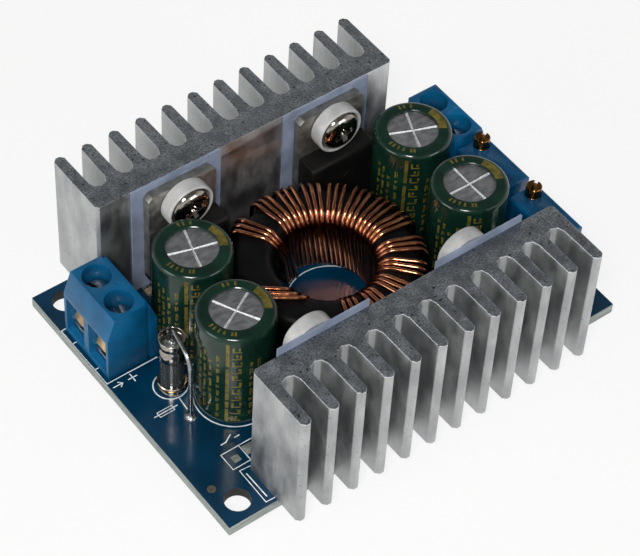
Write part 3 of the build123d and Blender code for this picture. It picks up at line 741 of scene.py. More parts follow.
def copied(piece: Piece, places: Sequence[Matrix]) -> list[Piece]:
    """Copy a piece to its places, each copy with its own mesh, and remove the first one.

    Args:
        piece: the piece at the origin.
        places: where its copies go, in metres.

    Returns:
        The copies.
    """
    made = []
    for place in places:
        twin = piece.copy()
        twin.data = piece.data.copy()
        bpy.context.scene.collection.objects.link(twin)
        twin.matrix_world = place
        made.append(settled(twin))
    bpy.data.objects.remove(piece)
    return made


def at(x: float, y: float, z: float = 0.0, turn: float = 0.0) -> Matrix:
    """Place in millimetres, with a turn in degrees about Z."""
    return Matrix.Translation(Vector((x, y, z)) * MM) @ Matrix.Rotation(math.radians(turn), 4, "Z")


def arc(centre: Spot, radius: float, start: float, end: float, steps: int = 5) -> list[Spot]:
    """Points of an arc in a turned profile.

    Args:
        centre: radius and height of its centre.
        radius: its own radius.
        start: angle of its first point in degrees.
        end: angle of its last point.
        steps: how many chords it has.

    Returns:
        The points, as radius and height.
    """
    (x, z), points = centre, []
    for step in range(steps + 1):
        angle = math.radians(start + (end - start) * step / steps)
        points.append((x + radius * math.cos(angle), z + radius * math.sin(angle)))
    return points


def turned(name: str, profile: Profile, steps: int = 64, sweep: float = 360.0) -> Piece:
    """Turn a profile about the Z axis, from a vertex drawn along it and spun.

    Args:
        name: the piece's name.
        profile: radius and height of each point, in millimetres.
        steps: faces round the axis.
        sweep: how far round it goes, in degrees anticlockwise from the X axis.

    Returns:
        The turned piece.
    """
    start = Vector((profile[0][0], 0, profile[0][1])) * MM
    bpy.ops.mesh.primitive_plane_add(size=MM, location=start)
    piece = settled(bpy.context.object)
    piece.name = name
    with editing(piece):
        bpy.ops.mesh.merge(type="CENTER")
        for here, there in zip(profile, profile[1:]):
            step = Vector((there[0] - here[0], 0, there[1] - here[1])) * MM
            bpy.ops.mesh.extrude_region_move(TRANSFORM_OT_translate={"value": step})
        bpy.ops.mesh.select_all(action="SELECT")
        bpy.ops.mesh.spin(steps=steps, angle=-math.radians(sweep), center=(0, 0, 0), axis=(0, 0, 1))
    return smoothed(mended(piece))


def block(name: str, size: Point, centre: Point, edge: float = 0.0, taper: float = 1.0) -> Piece:
    """Block with rounded edges.

    Args:
        name: the piece's name.
        size: its width, depth and height in millimetres.
        centre: its centre in millimetres.
        edge: size of the rounding.
        taper: scale of its lower face against its upper one.

    Returns:
        The block.
    """
    bpy.ops.mesh.primitive_cube_add(size=1, location=Vector(centre) * MM, scale=Vector(size) * MM)
    piece = settled(bpy.context.object)
    piece.name = name
    with editing(piece, "FACE"):
        if taper != 1.0:
            pick_faces(piece, lambda middle, normal: normal.z < -0.5)
            bpy.ops.transform.resize(value=(taper, taper, 1), center_override=Vector(centre) * MM)
        if edge:
            bpy.ops.mesh.select_all(action="SELECT")
            bpy.ops.mesh.bevel(offset=edge * MM, segments=3, affect="EDGES")
    return smoothed(mended(piece))


def raised(routes: Sequence[Sequence[Spot]], height: float) -> list[Sequence[Point]]:
    """Lift routes that are drawn flat to a height."""
    return [[(x, y, height) for x, y in route] for route in routes]


def rods(
    name: str,
    routes: Sequence[Sequence[Point]],
    thickness: float,
    sides: int = 2,
    flat: float = 1.0,
) -> Piece:
    """Round rods, or print strokes, along routes.

    Args:
        name: the piece's name.
        routes: points of each route in millimetres.
        thickness: diameter in millimetres.
        sides: fineness of the rod's section.
        flat: height of a stroke against its width.

    Returns:
        One piece with a rod along each route.
    """
    curve = bpy.data.curves.new(name, "CURVE")
    curve.dimensions = "3D"
    curve.bevel_depth = thickness / 2 * MM
    curve.bevel_resolution = sides
    curve.use_fill_caps = True
    for route in routes:
        spline = curve.splines.new("POLY")
        ring = len(route) > 2 and route[0] == route[-1]
        points = route[:-1] if ring else route
        spline.points.add(len(points) - 1)
        spline.use_cyclic_u = ring
        for point, (x, y, z) in zip(spline.points, points):
            point.co = (x * MM, y * MM, z * MM / flat, 1)
    piece = bpy.data.objects.new(name, curve)
    bpy.context.scene.collection.objects.link(piece)
    select_only(piece)
    bpy.ops.object.convert(target="MESH")
    piece.scale = (1, 1, flat)
    return smoothed(settled(piece), ROD_ANGLE)


def softened(route: Sequence[Vector], radius: float, steps: int = 4) -> list[Point]:
    """Bend a wire's route round its corners.

    Args:
        route: corners of the route in millimetres.
        radius: how far from each corner its bend starts.
        steps: chords in each bend.

    Returns:
        Points along the bent wire.
    """
    points = [tuple(route[0])]
    for before, corner, after in zip(route, route[1:], route[2:]):
        back, ahead = before - corner, after - corner
        reach = min(radius, back.length * BEND_SHARE, ahead.length * BEND_SHARE)
        enter, leave = corner + back.normalized() * reach, corner + ahead.normalized() * reach
        for step in range(steps + 1):
            share = step / steps
            points.append(tuple(enter.lerp(corner, share).lerp(corner.lerp(leave, share), share)))
    points.append(tuple(route[-1]))
    return points


def circle(x: float, y: float, z: float, radius: float, steps: int = 72) -> list[Point]:
    """Closed ring of points in millimetres.

    Args:
        x: its centre along X.
        y: its centre along Y.
        z: its height.
        radius: its radius.
        steps: how many chords it has.

    Returns:
        The points, with the first one again at the end.
    """
    angles = [2 * math.pi * step / steps for step in range(steps)]
    ring = [(x + radius * math.cos(angle), y + radius * math.sin(angle), z) for angle in angles]
    return ring + ring[:1]


class Bench:
    """Keeps the frame's nodes and the materials, and hands finished pieces to the frame."""

    def __init__(self, nodes: dict[str, Piece]) -> None:
        """Take the frame's nodes."""
        self.nodes = nodes
        self.materials: dict[object, bpy.types.Material] = {}

    def material(self, finish: Finish) -> bpy.types.Material:
        """Material of a finish, made once.

        Args:
            finish: the finish.

        Returns:
            Its material.
        """
        if finish not in self.materials:
            self.materials[finish] = finish.material()
        return self.materials[finish]

    def paint(self, piece: Piece, finish: Finish) -> Piece:
        """Give a whole piece one finish.

        Args:
            piece: the piece.
            finish: the finish.

        Returns:
            The same piece.
        """
        piece.data.materials.clear()
        piece.data.materials.append(self.material(finish))
        return piece

    def keep(self, finish: Finish, *nodes: str) -> None:
        """Keep frame nodes as they are, with a finish.

        Args:
            finish: the finish.
            nodes: the nodes' names.
        """
        for node in nodes:
            self.paint(self.nodes[node], finish)
            log.info("kept %s as %s", node, finish.name)

    def refined(self, node: str, edge: float, segments: int = 2) -> Piece:
        """Copy a frame node, merge its triangles into whole faces, and round its edges.

        Args:
            node: the node's name.
            edge: size of the rounding in millimetres.
            segments: faces across the rounding.

        Returns:
            The refined copy.
        """
        source = self.nodes[node]
        piece = bpy.data.objects.new(f"{node}_look", source.data.copy())
        bpy.context.scene.collection.objects.link(piece)
        with editing(piece):
            bpy.ops.mesh.customdata_custom_splitnormals_clear()
            bpy.ops.mesh.remove_doubles(threshold=WELD)
            bpy.ops.mesh.dissolve_limited(angle_limit=FACET_ANGLE)
        return rounded(piece, edge, segments)

    def fit(
        self, piece: Piece, finish: Finish | None, slot: str, *nodes: str, body: Body = Body.BASE
    ) -> None:
        """Hand a finished piece to the frame.

        Args:
            piece: the piece, in its place.
            finish: its finish, or None where it is already painted.
            slot: the record's material slot; not used.
            nodes: the frame nodes that it stands for.
            body: the body that it rides on.
        """
        if finish:
            self.paint(piece, finish)
        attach(piece, body.value)
        if nodes:
            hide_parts(*nodes)
        log.info("%s: %d faces", piece.name, len(piece.data.polygons))

    def refit(self, node: str, edge: float, finish: Finish, slot: str, segments: int = 2) -> None:
        """Round a frame node's edges, and let the rounded copy take its place.

        Args:
            node: the node's name.
            edge: size of the rounding in millimetres.
            finish: the copy's finish.
            slot: the record's material slot.
            segments: faces across the rounding.
        """
        self.fit(self.refined(node, edge, segments), finish, slot, node)

    def set_out(
        self,
        name: str,
        piece: Piece,
        places: Sequence[Matrix],
        finish: Finish,
        slot: str,
        *nodes: str,
        body: Body = Body.BASE,
    ) -> None:
        """Copy a piece to its places, join the copies, and hand them to the frame.

        Args:
            name: the joined piece's name.
            piece: the piece at the origin.
            places: where its copies stand.
            finish: their finish.
            slot: the record's material slot.
            nodes: the frame nodes that they stand for.
            body: the body that they ride on.
        """
        self.fit(joined(name, copied(piece, places)), finish, slot, *nodes, body=body)


@dataclass
class Board:
    """Circuit board with its white legend, pads and solder joints."""

    bench: Bench
    top: float = 1.6
    stroke: float = 0.17
    ink: float = 0.02
    pad_lift: float = 0.02
    pad_thickness: float = 0.04
    pad_edge: float = 0.012
    via_place: Spot = (-29.71, -16.34)
    wire_place: Spot = (-25.45, -5.65)
    joint_radius: float = 1.1
    joint_height: float = 1.6
    slot_joint_width: float = 2.0
    run_height: float = -0.03
    run_width: float = 2.4
    line_width: float = 0.5

    def build(self, joints: Sequence[Spot], slots: Sequence[Footing]) -> None:
        """Dress the board and solder its leads.

        Args:
            joints: places of the round solder joints.
            slots: place, turn and length of the long ones.
        """
        self.bench.keep(MASK, "circuit_board")
        self.legend()
        self.pads()
        self.solder(joints, slots)
        self.traces()

    def legend(self) -> None:
        """Print the outlines and signs that show on the component side."""
        z = self.top + self.ink / 2
        strokes: list[Sequence[Spot]] = [
            # Outline round the input terminal and its two ticks
            [(-30.31, 15.47), (-31.22, 15.45), (-31.17, 4.79), (-23.4, 4.78)],
            [(-31.2, 12.8), (-29.9, 12.8)],
            [(-31.18, 7.6), (-30.3, 7.6)],
            # Line from the fuse to the pad of its wire
            [(-24.91, -2.44), (-25.08, -4.47)],
            # Boxes round the two pads, and the long one beside them
            [(-23.1, -12.8), (-25.8, -12.8), (-25.8, -15.5), (-20.2, -15.5)],
            [(-23.1, -15.5), (-23.1, -12.8), (-20.2, -12.8)],
            [(-25.27, -16.1), (-25.34, -21.81), (-23.93, -21.87), (-23.6, -16.23), (-25.27, -16.1)],
            [(-24.8, -16.9), (-24.75, -21.2)],
            # Plus sign and arrow of the input
            [(-28.6, 3.8), (-27.2, 3.8)],
            [(-27.9, 3.1), (-27.9, 4.5)],
            [(-30.9, 3.8), (-29.4, 3.8)],
            [(-29.95, 4.25), (-29.4, 3.8), (-29.95, 3.35)],
            # Fuse sign
            [(-29.3, -3.15), (-25.7, -3.15)],
            [(-28.6, -2.75), (-28.6, -3.55), (-26.4, -3.55), (-26.4, -2.75), (-28.6, -2.75)],
            # Switch sign
            [(-24.9, -11.5), (-24.1, -11.5), (-22.9, -10.8)],
            [(-22.8, -11.5), (-22.0, -11.5)],
            # Outline round the trimmers, line of the output terminal and minus sign
            [(24.0, -16.4), (24.0, 5.6), (30.7, 5.6), (30.7, -16.4), (24.0, -16.4)],
            [(22.9, 4.9), (31.1, 4.9)],
            [(28.2, 18.0), (29.6, 18.0)],
        ]
        # Round the fuse, the four capacitors and the ring's hole
        rings = [
            (-24.68, -0.03, 2.22),
            (-18.70, -5.74, 5.36),
            (-17.35, 5.6, 5.36),
            (18.4, -5.6, 5.36),
            (18.3, 6.1, 5.36),
            (0.93, -0.56, 6.06),
        ]
        routes = raised(strokes, z) + [circle(x, y, z, radius) for x, y, radius in rings]
        piece = rods("board_legend", routes, self.stroke, sides=1, flat=self.ink / self.stroke)
        self.bench.fit(piece, LEGEND, "board")

    def pads(self) -> None:
        """Tinned pads, a filled via, and the solder round the fuse's bent wire."""
        z = self.top + self.pad_lift
        pads = [
            block("board_pad", (side, side, self.pad_thickness), (x, y, z), self.pad_edge)
            for side, x, y in ((1.05, -24.51, -14.28), (1.5, -22.22, -13.89))
        ]
        self.bench.fit(joined("board_pads", pads), TINNED_PAD, "solder")
        dome = [(0.0, 0.02), (0.3, 0.03), (0.42, 0.06), (0.55, 0.04), (0.58, 0.0), (0.0, 0.0)]
        via = turned("via", dome, 32)
        self.bench.set_out("filled_via", via, [at(*self.via_place, self.top)], VIA_RESIN, "board")
        profile = [(0.0, 0.75), (0.3, 0.75), *arc((0.95, 0.72), 0.65, 180, 262, 6)]
        cone = turned("cone", [*profile, (0.85, 0.0), (0.0, 0.0)], 32)
        places = [at(*self.wire_place, self.top)]
        self.bench.set_out("fuse_wire_solder", cone, places, SOLDER, "solder")

    def solder(self, joints: Sequence[Spot], slots: Sequence[Footing]) -> None:
        """Concave joints under the leads, with the lead's end standing out of each.

        Args:
            joints: places of the round joints.
            slots: place, turn and length of the long ones.
        """
        low, radius = self.joint_height, self.joint_radius
        profile = [(0.0, 0.0), (radius, 0.0), (radius, -0.06), (0.86, -0.3), (0.66, -0.6)]
        profile += [(0.52, -0.95), (0.44, -1.25), (0.32, -1.34), (0.3, -low), (0.0, -low)]
        pieces = copied(turned("joint", profile, 24), [at(x, y) for x, y in joints])
        for x, y, turn, length in slots:
            size = (self.slot_joint_width, length, low - 0.05)
            long_joint = block("slot_joint", size, (0, 0, -low / 2 + 0.025), 0.35, 0.55)
            pieces += copied(long_joint, [at(x, y, 0, turn)])
        self.bench.fit(joined("solder_joints_look", pieces), SOLDER, "solder", "solder_joints")

    def traces(self) -> None:
        """Wide copper runs under the mask on the underside, and fine ones beside the chip."""
        wide: list[Sequence[Spot]] = [
            [(-27.1, 7.8), (-24.4, 4.0), (-24.45, -0.15)],
            [(-25.45, -5.65), (-22.0, -8.2), (-18.7, -8.2), (-13.3, -13.4)],
            [(-27.1, 12.8), (-21.5, 12.8), (-17.35, 8.1), (-17.35, 3.1), (-18.7, -3.2)],
            [(10.9, -13.4), (18.4, -8.1), (18.4, -3.1), (18.3, 3.6)],
            [(27.7, 7.8), (22.8, 5.0), (18.3, 8.6)],
            [(10.9, 12.75), (15.0, 15.4), (22.0, 15.4), (27.7, 12.8)],
            [(-13.0, 12.75), (-8.0, 8.9), (-7.65, 10.25)],
        ]
        fine: list[Sequence[Spot]] = [
            [(27.8, -13.3), (20.0, -13.3), (8.0, -1.3), (2.9, -0.2)],
            [(27.8, 0.0), (14.0, 0.0), (5.6, 6.2), (2.9, 6.2)],
            [(-0.9, 6.0), (-4.0, 6.0), (-6.0, 4.0), (-7.9, 5.3)],
            [(-0.9, 0.0), (-4.0, 0.0), (-7.9, 2.7)],
        ]
        z = self.run_height
        runs = rods("wide_runs", raised(wide, z), self.run_width, sides=2, flat=0.03)
        lines = rods("fine_runs", raised(fine, z), self.line_width, sides=1, flat=0.12)
        self.bench.fit(joined("underside_runs", [runs, lines]), MASKED_COPPER, "board")


@dataclass
class Heatsinks:
    """Two finned extrusions with the silicone pads on their flat faces."""

    bench: Bench
    edge: float = 0.34

    def build(self) -> None:
        """Round the fins' tips and roots, and dress the pads."""
        for end in ("front", "rear"):
            self.bench.refit(f"heatsink_{end}", self.edge, ALUMINIUM, "heatsink", 3)
            self.bench.keep(SILICONE, f"insulating_pad_{end}_left", f"insulating_pad_{end}_right")


@dataclass
class TabFastening:
    """Nylon bushes and cross-headed screws that hold the transistors' tabs."""

    bench: Bench
    seats: Sequence[Matrix]
    bush_radius: float = 3.45
    bush_wall: float = 0.45
    bore: float = 1.6
    spigot: float = 1.74
    spigot_foot: float = 0.75
    base: float = 1.6
    seat: float = 2.4
    rim: float = 3.7
    head_radius: float = 2.9
    head_top: float = 4.4
    shank: float = 1.5
    shank_end: float = -2.58
    cross: Point = (3.1, 0.8, 1.3)
    cross_taper: float = 0.55
    cross_turn: float = 15.0

    def build(self) -> None:
        """Turn the bushes and screws, and set them on their seats."""
        seats = self.seats
        self.bench.set_out("bushes_look", self.bush(), seats, NYLON, "bush", "insulating_bushes")
        self.bench.set_out("tab_screws_look", self.screw(), seats, NICKEL, "screw", "tab_screws")

    def bush(self) -> Piece:
        """Cup with a floor for the screw's head and a spigot in the tab."""
        wall = self.bush_radius - self.bush_wall
        lip = self.bush_wall / 2
        bore, foot, seat = self.bore, self.spigot_foot, self.seat
        profile = [(bore, foot), (bore, seat), (wall - 0.12, seat), (wall, seat + 0.12)]
        profile += arc((self.bush_radius - lip, self.rim - lip), lip, 180, 0, 8)
        profile += arc((self.bush_radius - 0.2, self.base + 0.2), 0.2, 0, -90, 3)
        profile += [(self.spigot, self.base), (self.spigot, foot), (bore, foot)]
        return turned("bush", profile, 56)

    def screw(self) -> Piece:
        """Pan head with a tapered cross recess, on a plain shank."""
        top, radius, seat, end = self.head_top, self.head_radius, self.seat, self.shank_end
        profile = [(0.0, top), (0.8, top - 0.01), (1.5, top - 0.06), (radius - 0.7, top - 0.2)]
        profile += [(radius - 0.3, top - 0.48), (radius - 0.07, top - 0.85), (radius, top - 1.3)]
        profile += [(radius - 0.03, seat + 0.08), (radius - 0.13, seat), (self.shank, seat)]
        profile += [(self.shank, end + 0.18), (self.shank - 0.15, end), (0.0, end)]
        screw = turned("screw", profile, 56)
        for turn in (self.cross_turn, self.cross_turn + 90):
            arm = block("arm", self.cross, (0, 0, top - 0.45), 0.0, self.cross_taper)
            arm.matrix_world = at(0, 0, 0, turn)
            cut(screw, settled(arm))
        return rounded(screw, 0.05, 2, 50)


@dataclass
class Transistors:
    """Four tab transistors and their fastenings."""

    bench: Bench
    fronts: Spot = (-13.3, 10.9)
    rears: Spot = (-13.0, 10.9)
    front_face: float = -16.3
    rear_face: float = 15.65
    hole_height: float = 17.2
    mark_height: float = 10.4
    mark_radius: float = 1.0
    mark_depth: float = 0.3
    mark_reach: float = 4.8
    leg_reach: float = 2.9
    tab_edge: float = 0.12
    moulding_edge: float = 0.22
    leg_edge: float = 0.08

    def seats(self) -> dict[str, Matrix]:
        """Where each transistor's screw sits: the mounting face, with Z out of the metal."""
        made = {}
        ends = (
            ("front", self.fronts, self.front_face, 1),
            ("rear", self.rears, self.rear_face, -1),
        )
        for end, xs, face, outward in ends:
            turn = Matrix(((-outward, 0, 0), (0, 0, outward), (0, 1, 0))).to_4x4()
            for side, x in zip(("left", "right"), xs):
                place = Vector((x, face, self.hole_height)) * MM
                made[f"{end}_{side}"] = Matrix.Translation(place) @ turn
        return made

    def build(self) -> None:
        """Dress tabs, mouldings and legs, and fasten the tabs."""
        seats = self.seats()
        for corner, seat in seats.items():
            self.bench.refit(f"transistor_tab_{corner}", self.tab_edge, TIN_PLATE, "tab")
            moulding = self.bench.refined(f"transistor_moulding_{corner}", self.moulding_edge, 3)
            self.mark(moulding, seat)
            self.bench.fit(moulding, EPOXY, "moulding", f"transistor_moulding_{corner}")
            self.bench.refit(f"transistor_legs_{corner}", self.leg_edge, TINNED_WIRE, "lead")
        TabFastening(self.bench, list(seats.values())).build()

    def mark(self, moulding: Piece, seat: Matrix) -> None:
        """Sink the round ejector mark into a moulding's face.

        Args:
            moulding: the moulding.
            seat: where its transistor's screw sits.
        """
        radius, depth = self.mark_radius * MM, self.mark_depth * MM
        bpy.ops.mesh.primitive_cylinder_add(vertices=40, radius=radius, depth=depth)
        pin = bpy.context.object
        pin.matrix_world = seat @ at(0, self.mark_height - self.hole_height, self.mark_reach)
        settled(pin)
        pin.data.update()
        cut(moulding, pin)
        smoothed(moulding)


@dataclass
class Capacitors:
    """Four sleeved electrolytic capacitors with scored tops."""

    bench: Bench
    radius: float = 5.2
    base: float = 1.9
    top: float = 18.5
    shoulder: float = 0.75
    opening: float = 3.35
    wall: float = 0.25
    crimp: Spot = (3.5, 4.6)
    crimp_depth: float = 0.1
    can_foot: float = 1.6
    score: float = 3.3
    score_width: float = 0.3
    score_tilt: Spot = (0.5, 0.9)
    dish: float = 0.16
    print_lift: float = 0.012
    ring_lift: float = 0.008
    dash_rows: int = 9

    def build(self, places: Mapping[str, Spot], turns: Mapping[str, Spot]) -> None:
        """Make one capacitor and set it at every place.

        Args:
            places: where each one stands.
            turns: how far each one's print and its score are turned, in degrees.
        """
        for name, (x, y) in places.items():
            print_turn, score_turn = turns[name]
            node = f"capacitor_sleeve_{name}"
            self.bench.set_out(f"sleeve_{name}", self.sleeve(), [at(x, y)], SLEEVE, "sleeve", node)
            can = joined(f"can_{name}", copied(self.can(), [at(x, y, 0, score_turn)]))
            self.bench.paint(can, DRAWN_CAN)
            # The score's tilted facets take the painted highlight, lighter than the can's aluminium
            can.data.materials.append(self.bench.material(SCORE_PAINTED_HIGHLIGHT))
            flat, steep = self.score_tilt
            for face in can.data.polygons:
                face.material_index = int(flat < face.normal.z < steep)
            self.bench.fit(can, None, "can", f"capacitor_can_{name}")
            turned_place = [at(x, y, 0, print_turn)]
            printed = self.sleeve_print()
            self.bench.set_out(f"print_{name}", printed, turned_place, GOLD_PRINT, "sleeve")
        self.bench.keep(TINNED_WIRE, "capacitor_wires")

    def sleeve(self) -> Piece:
        """Sleeve with a round shoulder and a lip turned in over the can."""
        bend, opening, top, radius = self.shoulder, self.opening, self.top, self.radius
        inside, (crimp_low, crimp_high) = radius - self.wall, self.crimp
        waist = radius - self.crimp_depth
        profile = [(opening, top - self.wall), (opening, top - 0.1), (opening + 0.1, top - 0.02)]
        profile += [(opening + 0.3, top), *arc((radius - bend, top - bend), bend, 90, 0, 7)]
        profile += [(radius, crimp_high), (waist, crimp_high - 0.4), (waist, crimp_low + 0.4)]
        profile += [(radius, crimp_low), (radius, self.base + 0.35)]
        profile += [(radius - 0.12, self.base), (inside, self.base)]
        profile += arc((radius - bend, top - bend), bend - self.wall, 0, 90, 6)
        return turned("sleeve", [*profile, (opening, top - self.wall)], 72)

    def can(self) -> Piece:
        """Can with a crossed score in its top."""
        radius = self.radius - self.wall - 0.04
        top = self.top - self.wall - 0.03
        profile = [(0.0, top), (radius - 0.8, top), *arc((radius - 0.8, top - 0.8), 0.8, 80, 0, 5)]
        profile += [(radius, self.can_foot + 0.1), (radius - 0.1, self.can_foot)]
        can = turned("can", [*profile, (0.0, self.can_foot)], 72)
        corner = radius * math.sqrt(2)
        low = top - self.dish
        cutter = [(0.0, low), (corner, top), (corner, top + 1), (0.0, top + 1)]
        cut(can, turned("dish", cutter, 4))
        for turn in (0, 90):
            size = (2 * self.score, self.score_width, self.score_width)
            groove = block("groove", size, (0, 0, 0))
            groove.rotation_euler = (math.radians(45), 0, 0)
            settled(groove)
            groove.matrix_world = at(0, 0, top - 0.4 * self.dish, turn)
            cut(can, settled(groove))
        return smoothed(can, FACET_ANGLE)

    def patch(self, start: float, sweep: float, low: float, high: float) -> Piece:
        """Printed patch on the sleeve's wall.

        Args:
            start: angle of its first edge in degrees.
            sweep: how far round it goes.
            low: height of its lower edge in millimetres.
            high: height of its upper edge.

        Returns:
            The patch.
        """
        skin = self.radius + self.print_lift
        piece = turned("patch", [(skin, low), (skin, high)], max(2, int(sweep / 4)), sweep)
        piece.matrix_world = at(0, 0, 0, start)
        return settled(piece)

    def cap_patch(self, start: float, sweep: float, inner: float, outer: float) -> Piece:
        """Printed patch on the sleeve's flat top ring.

        Args:
            start: angle of its first edge in degrees.
            sweep: how far round it goes.
            inner: radius of its inner edge in millimetres.
            outer: radius of its outer edge.

        Returns:
            The patch.
        """
        z = self.top + self.ring_lift
        piece = turned("cap_patch", [(inner, z), (outer, z)], max(2, int(sweep / 6)), sweep)
        piece.matrix_world = at(0, 0, 0, start)
        return settled(piece)

    def sleeve_print(self) -> Piece:
        """Sector on the top ring, a gold bar down the side, and columns of dashes beside it."""
        pieces = [self.cap_patch(-26, 52, 3.45, 4.5)]
        for low, high in ((2.4, 4.9), (5.2, 6.4), (6.7, 12.9), (13.4, 17.7)):
            pieces.append(self.patch(-131, 5, low, high))
        # Large marks beside the bar, each a stroke across and two strokes up
        for mark in range(11):
            low = 2.6 + mark * 1.36
            pieces.append(self.patch(-122, 13, low, low + 0.22))
            pieces.append(self.patch(-122 + 10 * (mark % 2), 3, low, low + 0.95))
            pieces.append(self.patch(-117 + 3 * (mark % 3), 3, low + 0.4, low + 0.95))
        # Columns of small marks round the rest of the wall, each a long dash and a short one
        starts = (-176, -167, -157, -145, -98, -86, 20, 28, 60, 68, 110, 118)
        lengths = (1.1, 0.6, 1.4, 0.9, 0.5, 1.2, 0.8, 1.5, 0.7)
        for column, start in enumerate(starts):
            height = 2.8 + 0.9 * (column % 3)
            for row in range(self.dash_rows - column % 3):
                length = lengths[(column * 2 + row) % len(lengths)]
                pieces.append(self.patch(start + (row % 2), 2.6, height, height + length))
                pieces.append(self.patch(start + 3.6, 1.4, height + 0.2, height + length))
                height += length + 0.45
        for turn in (-168, -160, -150, -140, -126, -120, 62, 75, 84):
            pieces.append(self.cap_patch(turn, 4, 3.75, 4.4))
        return mended(joined("sleeve_print", pieces))


@dataclass
class Inductor:
    """Ferrite ring wound with three enamelled wires side by side."""

    bench: Bench
    x: float = -0.75
    y: float = -0.8
    core_outer: float = 12.2
    core_inner: float = 6.95
    core_height: float = 9.1
    core_edge: float = 1.3
    strand: float = 0.56
    enamel: float = 0.03
    strands: int = 3
    pitch_inside: float = 0.62
    pitch_outside: float = 1.1
    pitch_crossing: float = 0.76
    run_radius: float = 9.0
    run_pitch: float = 0.85
    gap: float = 0.05
    bulge: float = 0.5
    shoulder: float = 0.8
    low: float = 2.68
    slant: float = 10.0
    close_turns: int = 7
    close_start: float = 97.0
    close_pitch: float = 16.8
    spread_turns: int = 5
    spread_start: float = -26.0
    spread_pitch: float = 20.4
    first_angle: float = 122.0
    first_cross: float = 112.0
    first_drop: float = 3.2
    first_foot: float = 97.0
    first_step: float = 0.74
    last_outside: float = -182.0
    last_inside: float = -157.0
    last_pitch: float = 1.1
    wire_bend: float = 0.75

    @property
    def offset(self) -> float:
        """Distance from the core to a wire's middle."""
        return self.strand / 2 + self.gap

    @property
    def bend(self) -> float:
        """How far from the core's corner a wire starts to turn."""
        return self.core_edge + self.offset * (2 - math.sqrt(2))

    @property
    def inner(self) -> float:
        """Radius of the wires in the hole."""
        return self.core_inner - self.offset

    @property
    def outer(self) -> float:
        """Radius of the wires round the outside."""
        return self.core_outer + self.offset + self.bulge

    @property
    def high(self) -> float:
        """Height of the wires over the ring."""
        return self.low + 2 * self.offset + self.core_height

    def point(self, radius: float, angle: float, height: float) -> Vector:
        """Point at a radius and an angle about the ring's axis."""
        turn = math.radians(angle)
        return Vector((self.x + radius * math.cos(turn), self.y + radius * math.sin(turn), height))

    def lane(self, angle: float, place: float, pitch: float, radius: float) -> float:
        """Angle of one of the wires that run side by side."""
        return angle - math.degrees(place * pitch / radius)

    def over(self, outside: float, inside: float) -> list[Vector]:
        """Corners of a wire over the ring, from the outer wall to the inner one.

        Args:
            outside: its angle on the outer wall, in degrees.
            inside: its angle in the hole.

        Returns:
            The corners in millimetres.
        """
        return [
            self.point(self.outer, outside, self.high - self.shoulder),
            self.point(self.outer - self.shoulder, outside, self.high),
            self.point(self.inner + self.bend, inside, self.high),
            self.point(self.inner, inside, self.high - self.bend),
        ]

    def route(self, place: float) -> list[Vector]:
        """Route of one wire through every turn, from one hole in the board to the other.

        Args:
            place: the wire's place in its row, with 0 in the middle.

        Returns:
            The corners of its route in millimetres.
        """
        outside = self.lane(self.first_angle, place, self.pitch_outside, self.outer)
        inside = self.lane(self.first_angle, place, self.pitch_inside, self.inner)
        crossing = self.inner - self.first_step
        cross = self.lane(self.first_cross, place, self.pitch_crossing, crossing)
        foot = self.lane(self.first_foot, place, self.pitch_crossing, crossing)
        route = [self.point(self.outer, outside, 0.0)]
        route += self.over(outside, inside)
        route.append(self.point(crossing, cross, self.high - self.bend - self.first_drop))
        route.append(self.point(crossing, foot, self.low - self.first_step))
        angles = [self.close_start - turn * self.close_pitch for turn in range(self.close_turns)]
        spread = range(self.spread_turns)
        angles += [self.spread_start - turn * self.spread_pitch for turn in spread]
        for angle in angles:
            outside = self.lane(angle, place, self.pitch_outside, self.outer)
            inside = self.lane(angle, place, self.pitch_inside, self.inner)
            route.append(self.point(self.outer, outside, self.low))
            route += self.over(outside, inside)
            route.append(self.point(self.inner, inside - self.slant, self.low))
        start = self.lane(angles[-1] - self.slant, place, self.pitch_inside, self.inner)
        outside = self.lane(self.last_outside, place, self.pitch_outside, self.outer)
        inside = self.lane(self.last_inside, place, self.last_pitch, self.inner)
        run = self.run_radius - place * self.run_pitch
        middle = (start + outside) / 2
        route += [self.point(run, angle, self.low) for angle in (start, middle, outside)]
        route.append(self.point(self.outer, outside, self.low))
        route += self.over(outside, inside)
        route.append(self.point(self.inner, inside, 0.0))
        return route

    def build(self) -> None:
        """Turn the core and wind the wires."""
        base = self.low + self.offset
        high = base + self.core_height
        edge = self.core_edge
        profile = arc((self.core_outer - edge, high - edge), edge, 0, 90, 6)
        profile += arc((self.core_inner + edge, high - edge), edge, 90, 180, 6)
        profile += arc((self.core_inner + edge, base + edge), edge, 180, 270, 6)
        profile += arc((self.core_outer - edge, base + edge), edge, 270, 360, 6)
        profile.append(profile[0])
        core, here = turned("core", profile, 96), [at(self.x, self.y)]
        self.bench.set_out("ferrite_ring", core, here, FERRITE, "core", "inductor_core")
        thickness = self.strand + 2 * self.enamel
        for number in range(self.strands):
            route = softened(self.route(number - (self.strands - 1) / 2), self.wire_bend)
            wire = rods(f"winding_wire_{number + 1}", [route], thickness, sides=3)
            self.bench.fit(wire, COPPER, "copper", f"inductor_wire_{number + 1}")


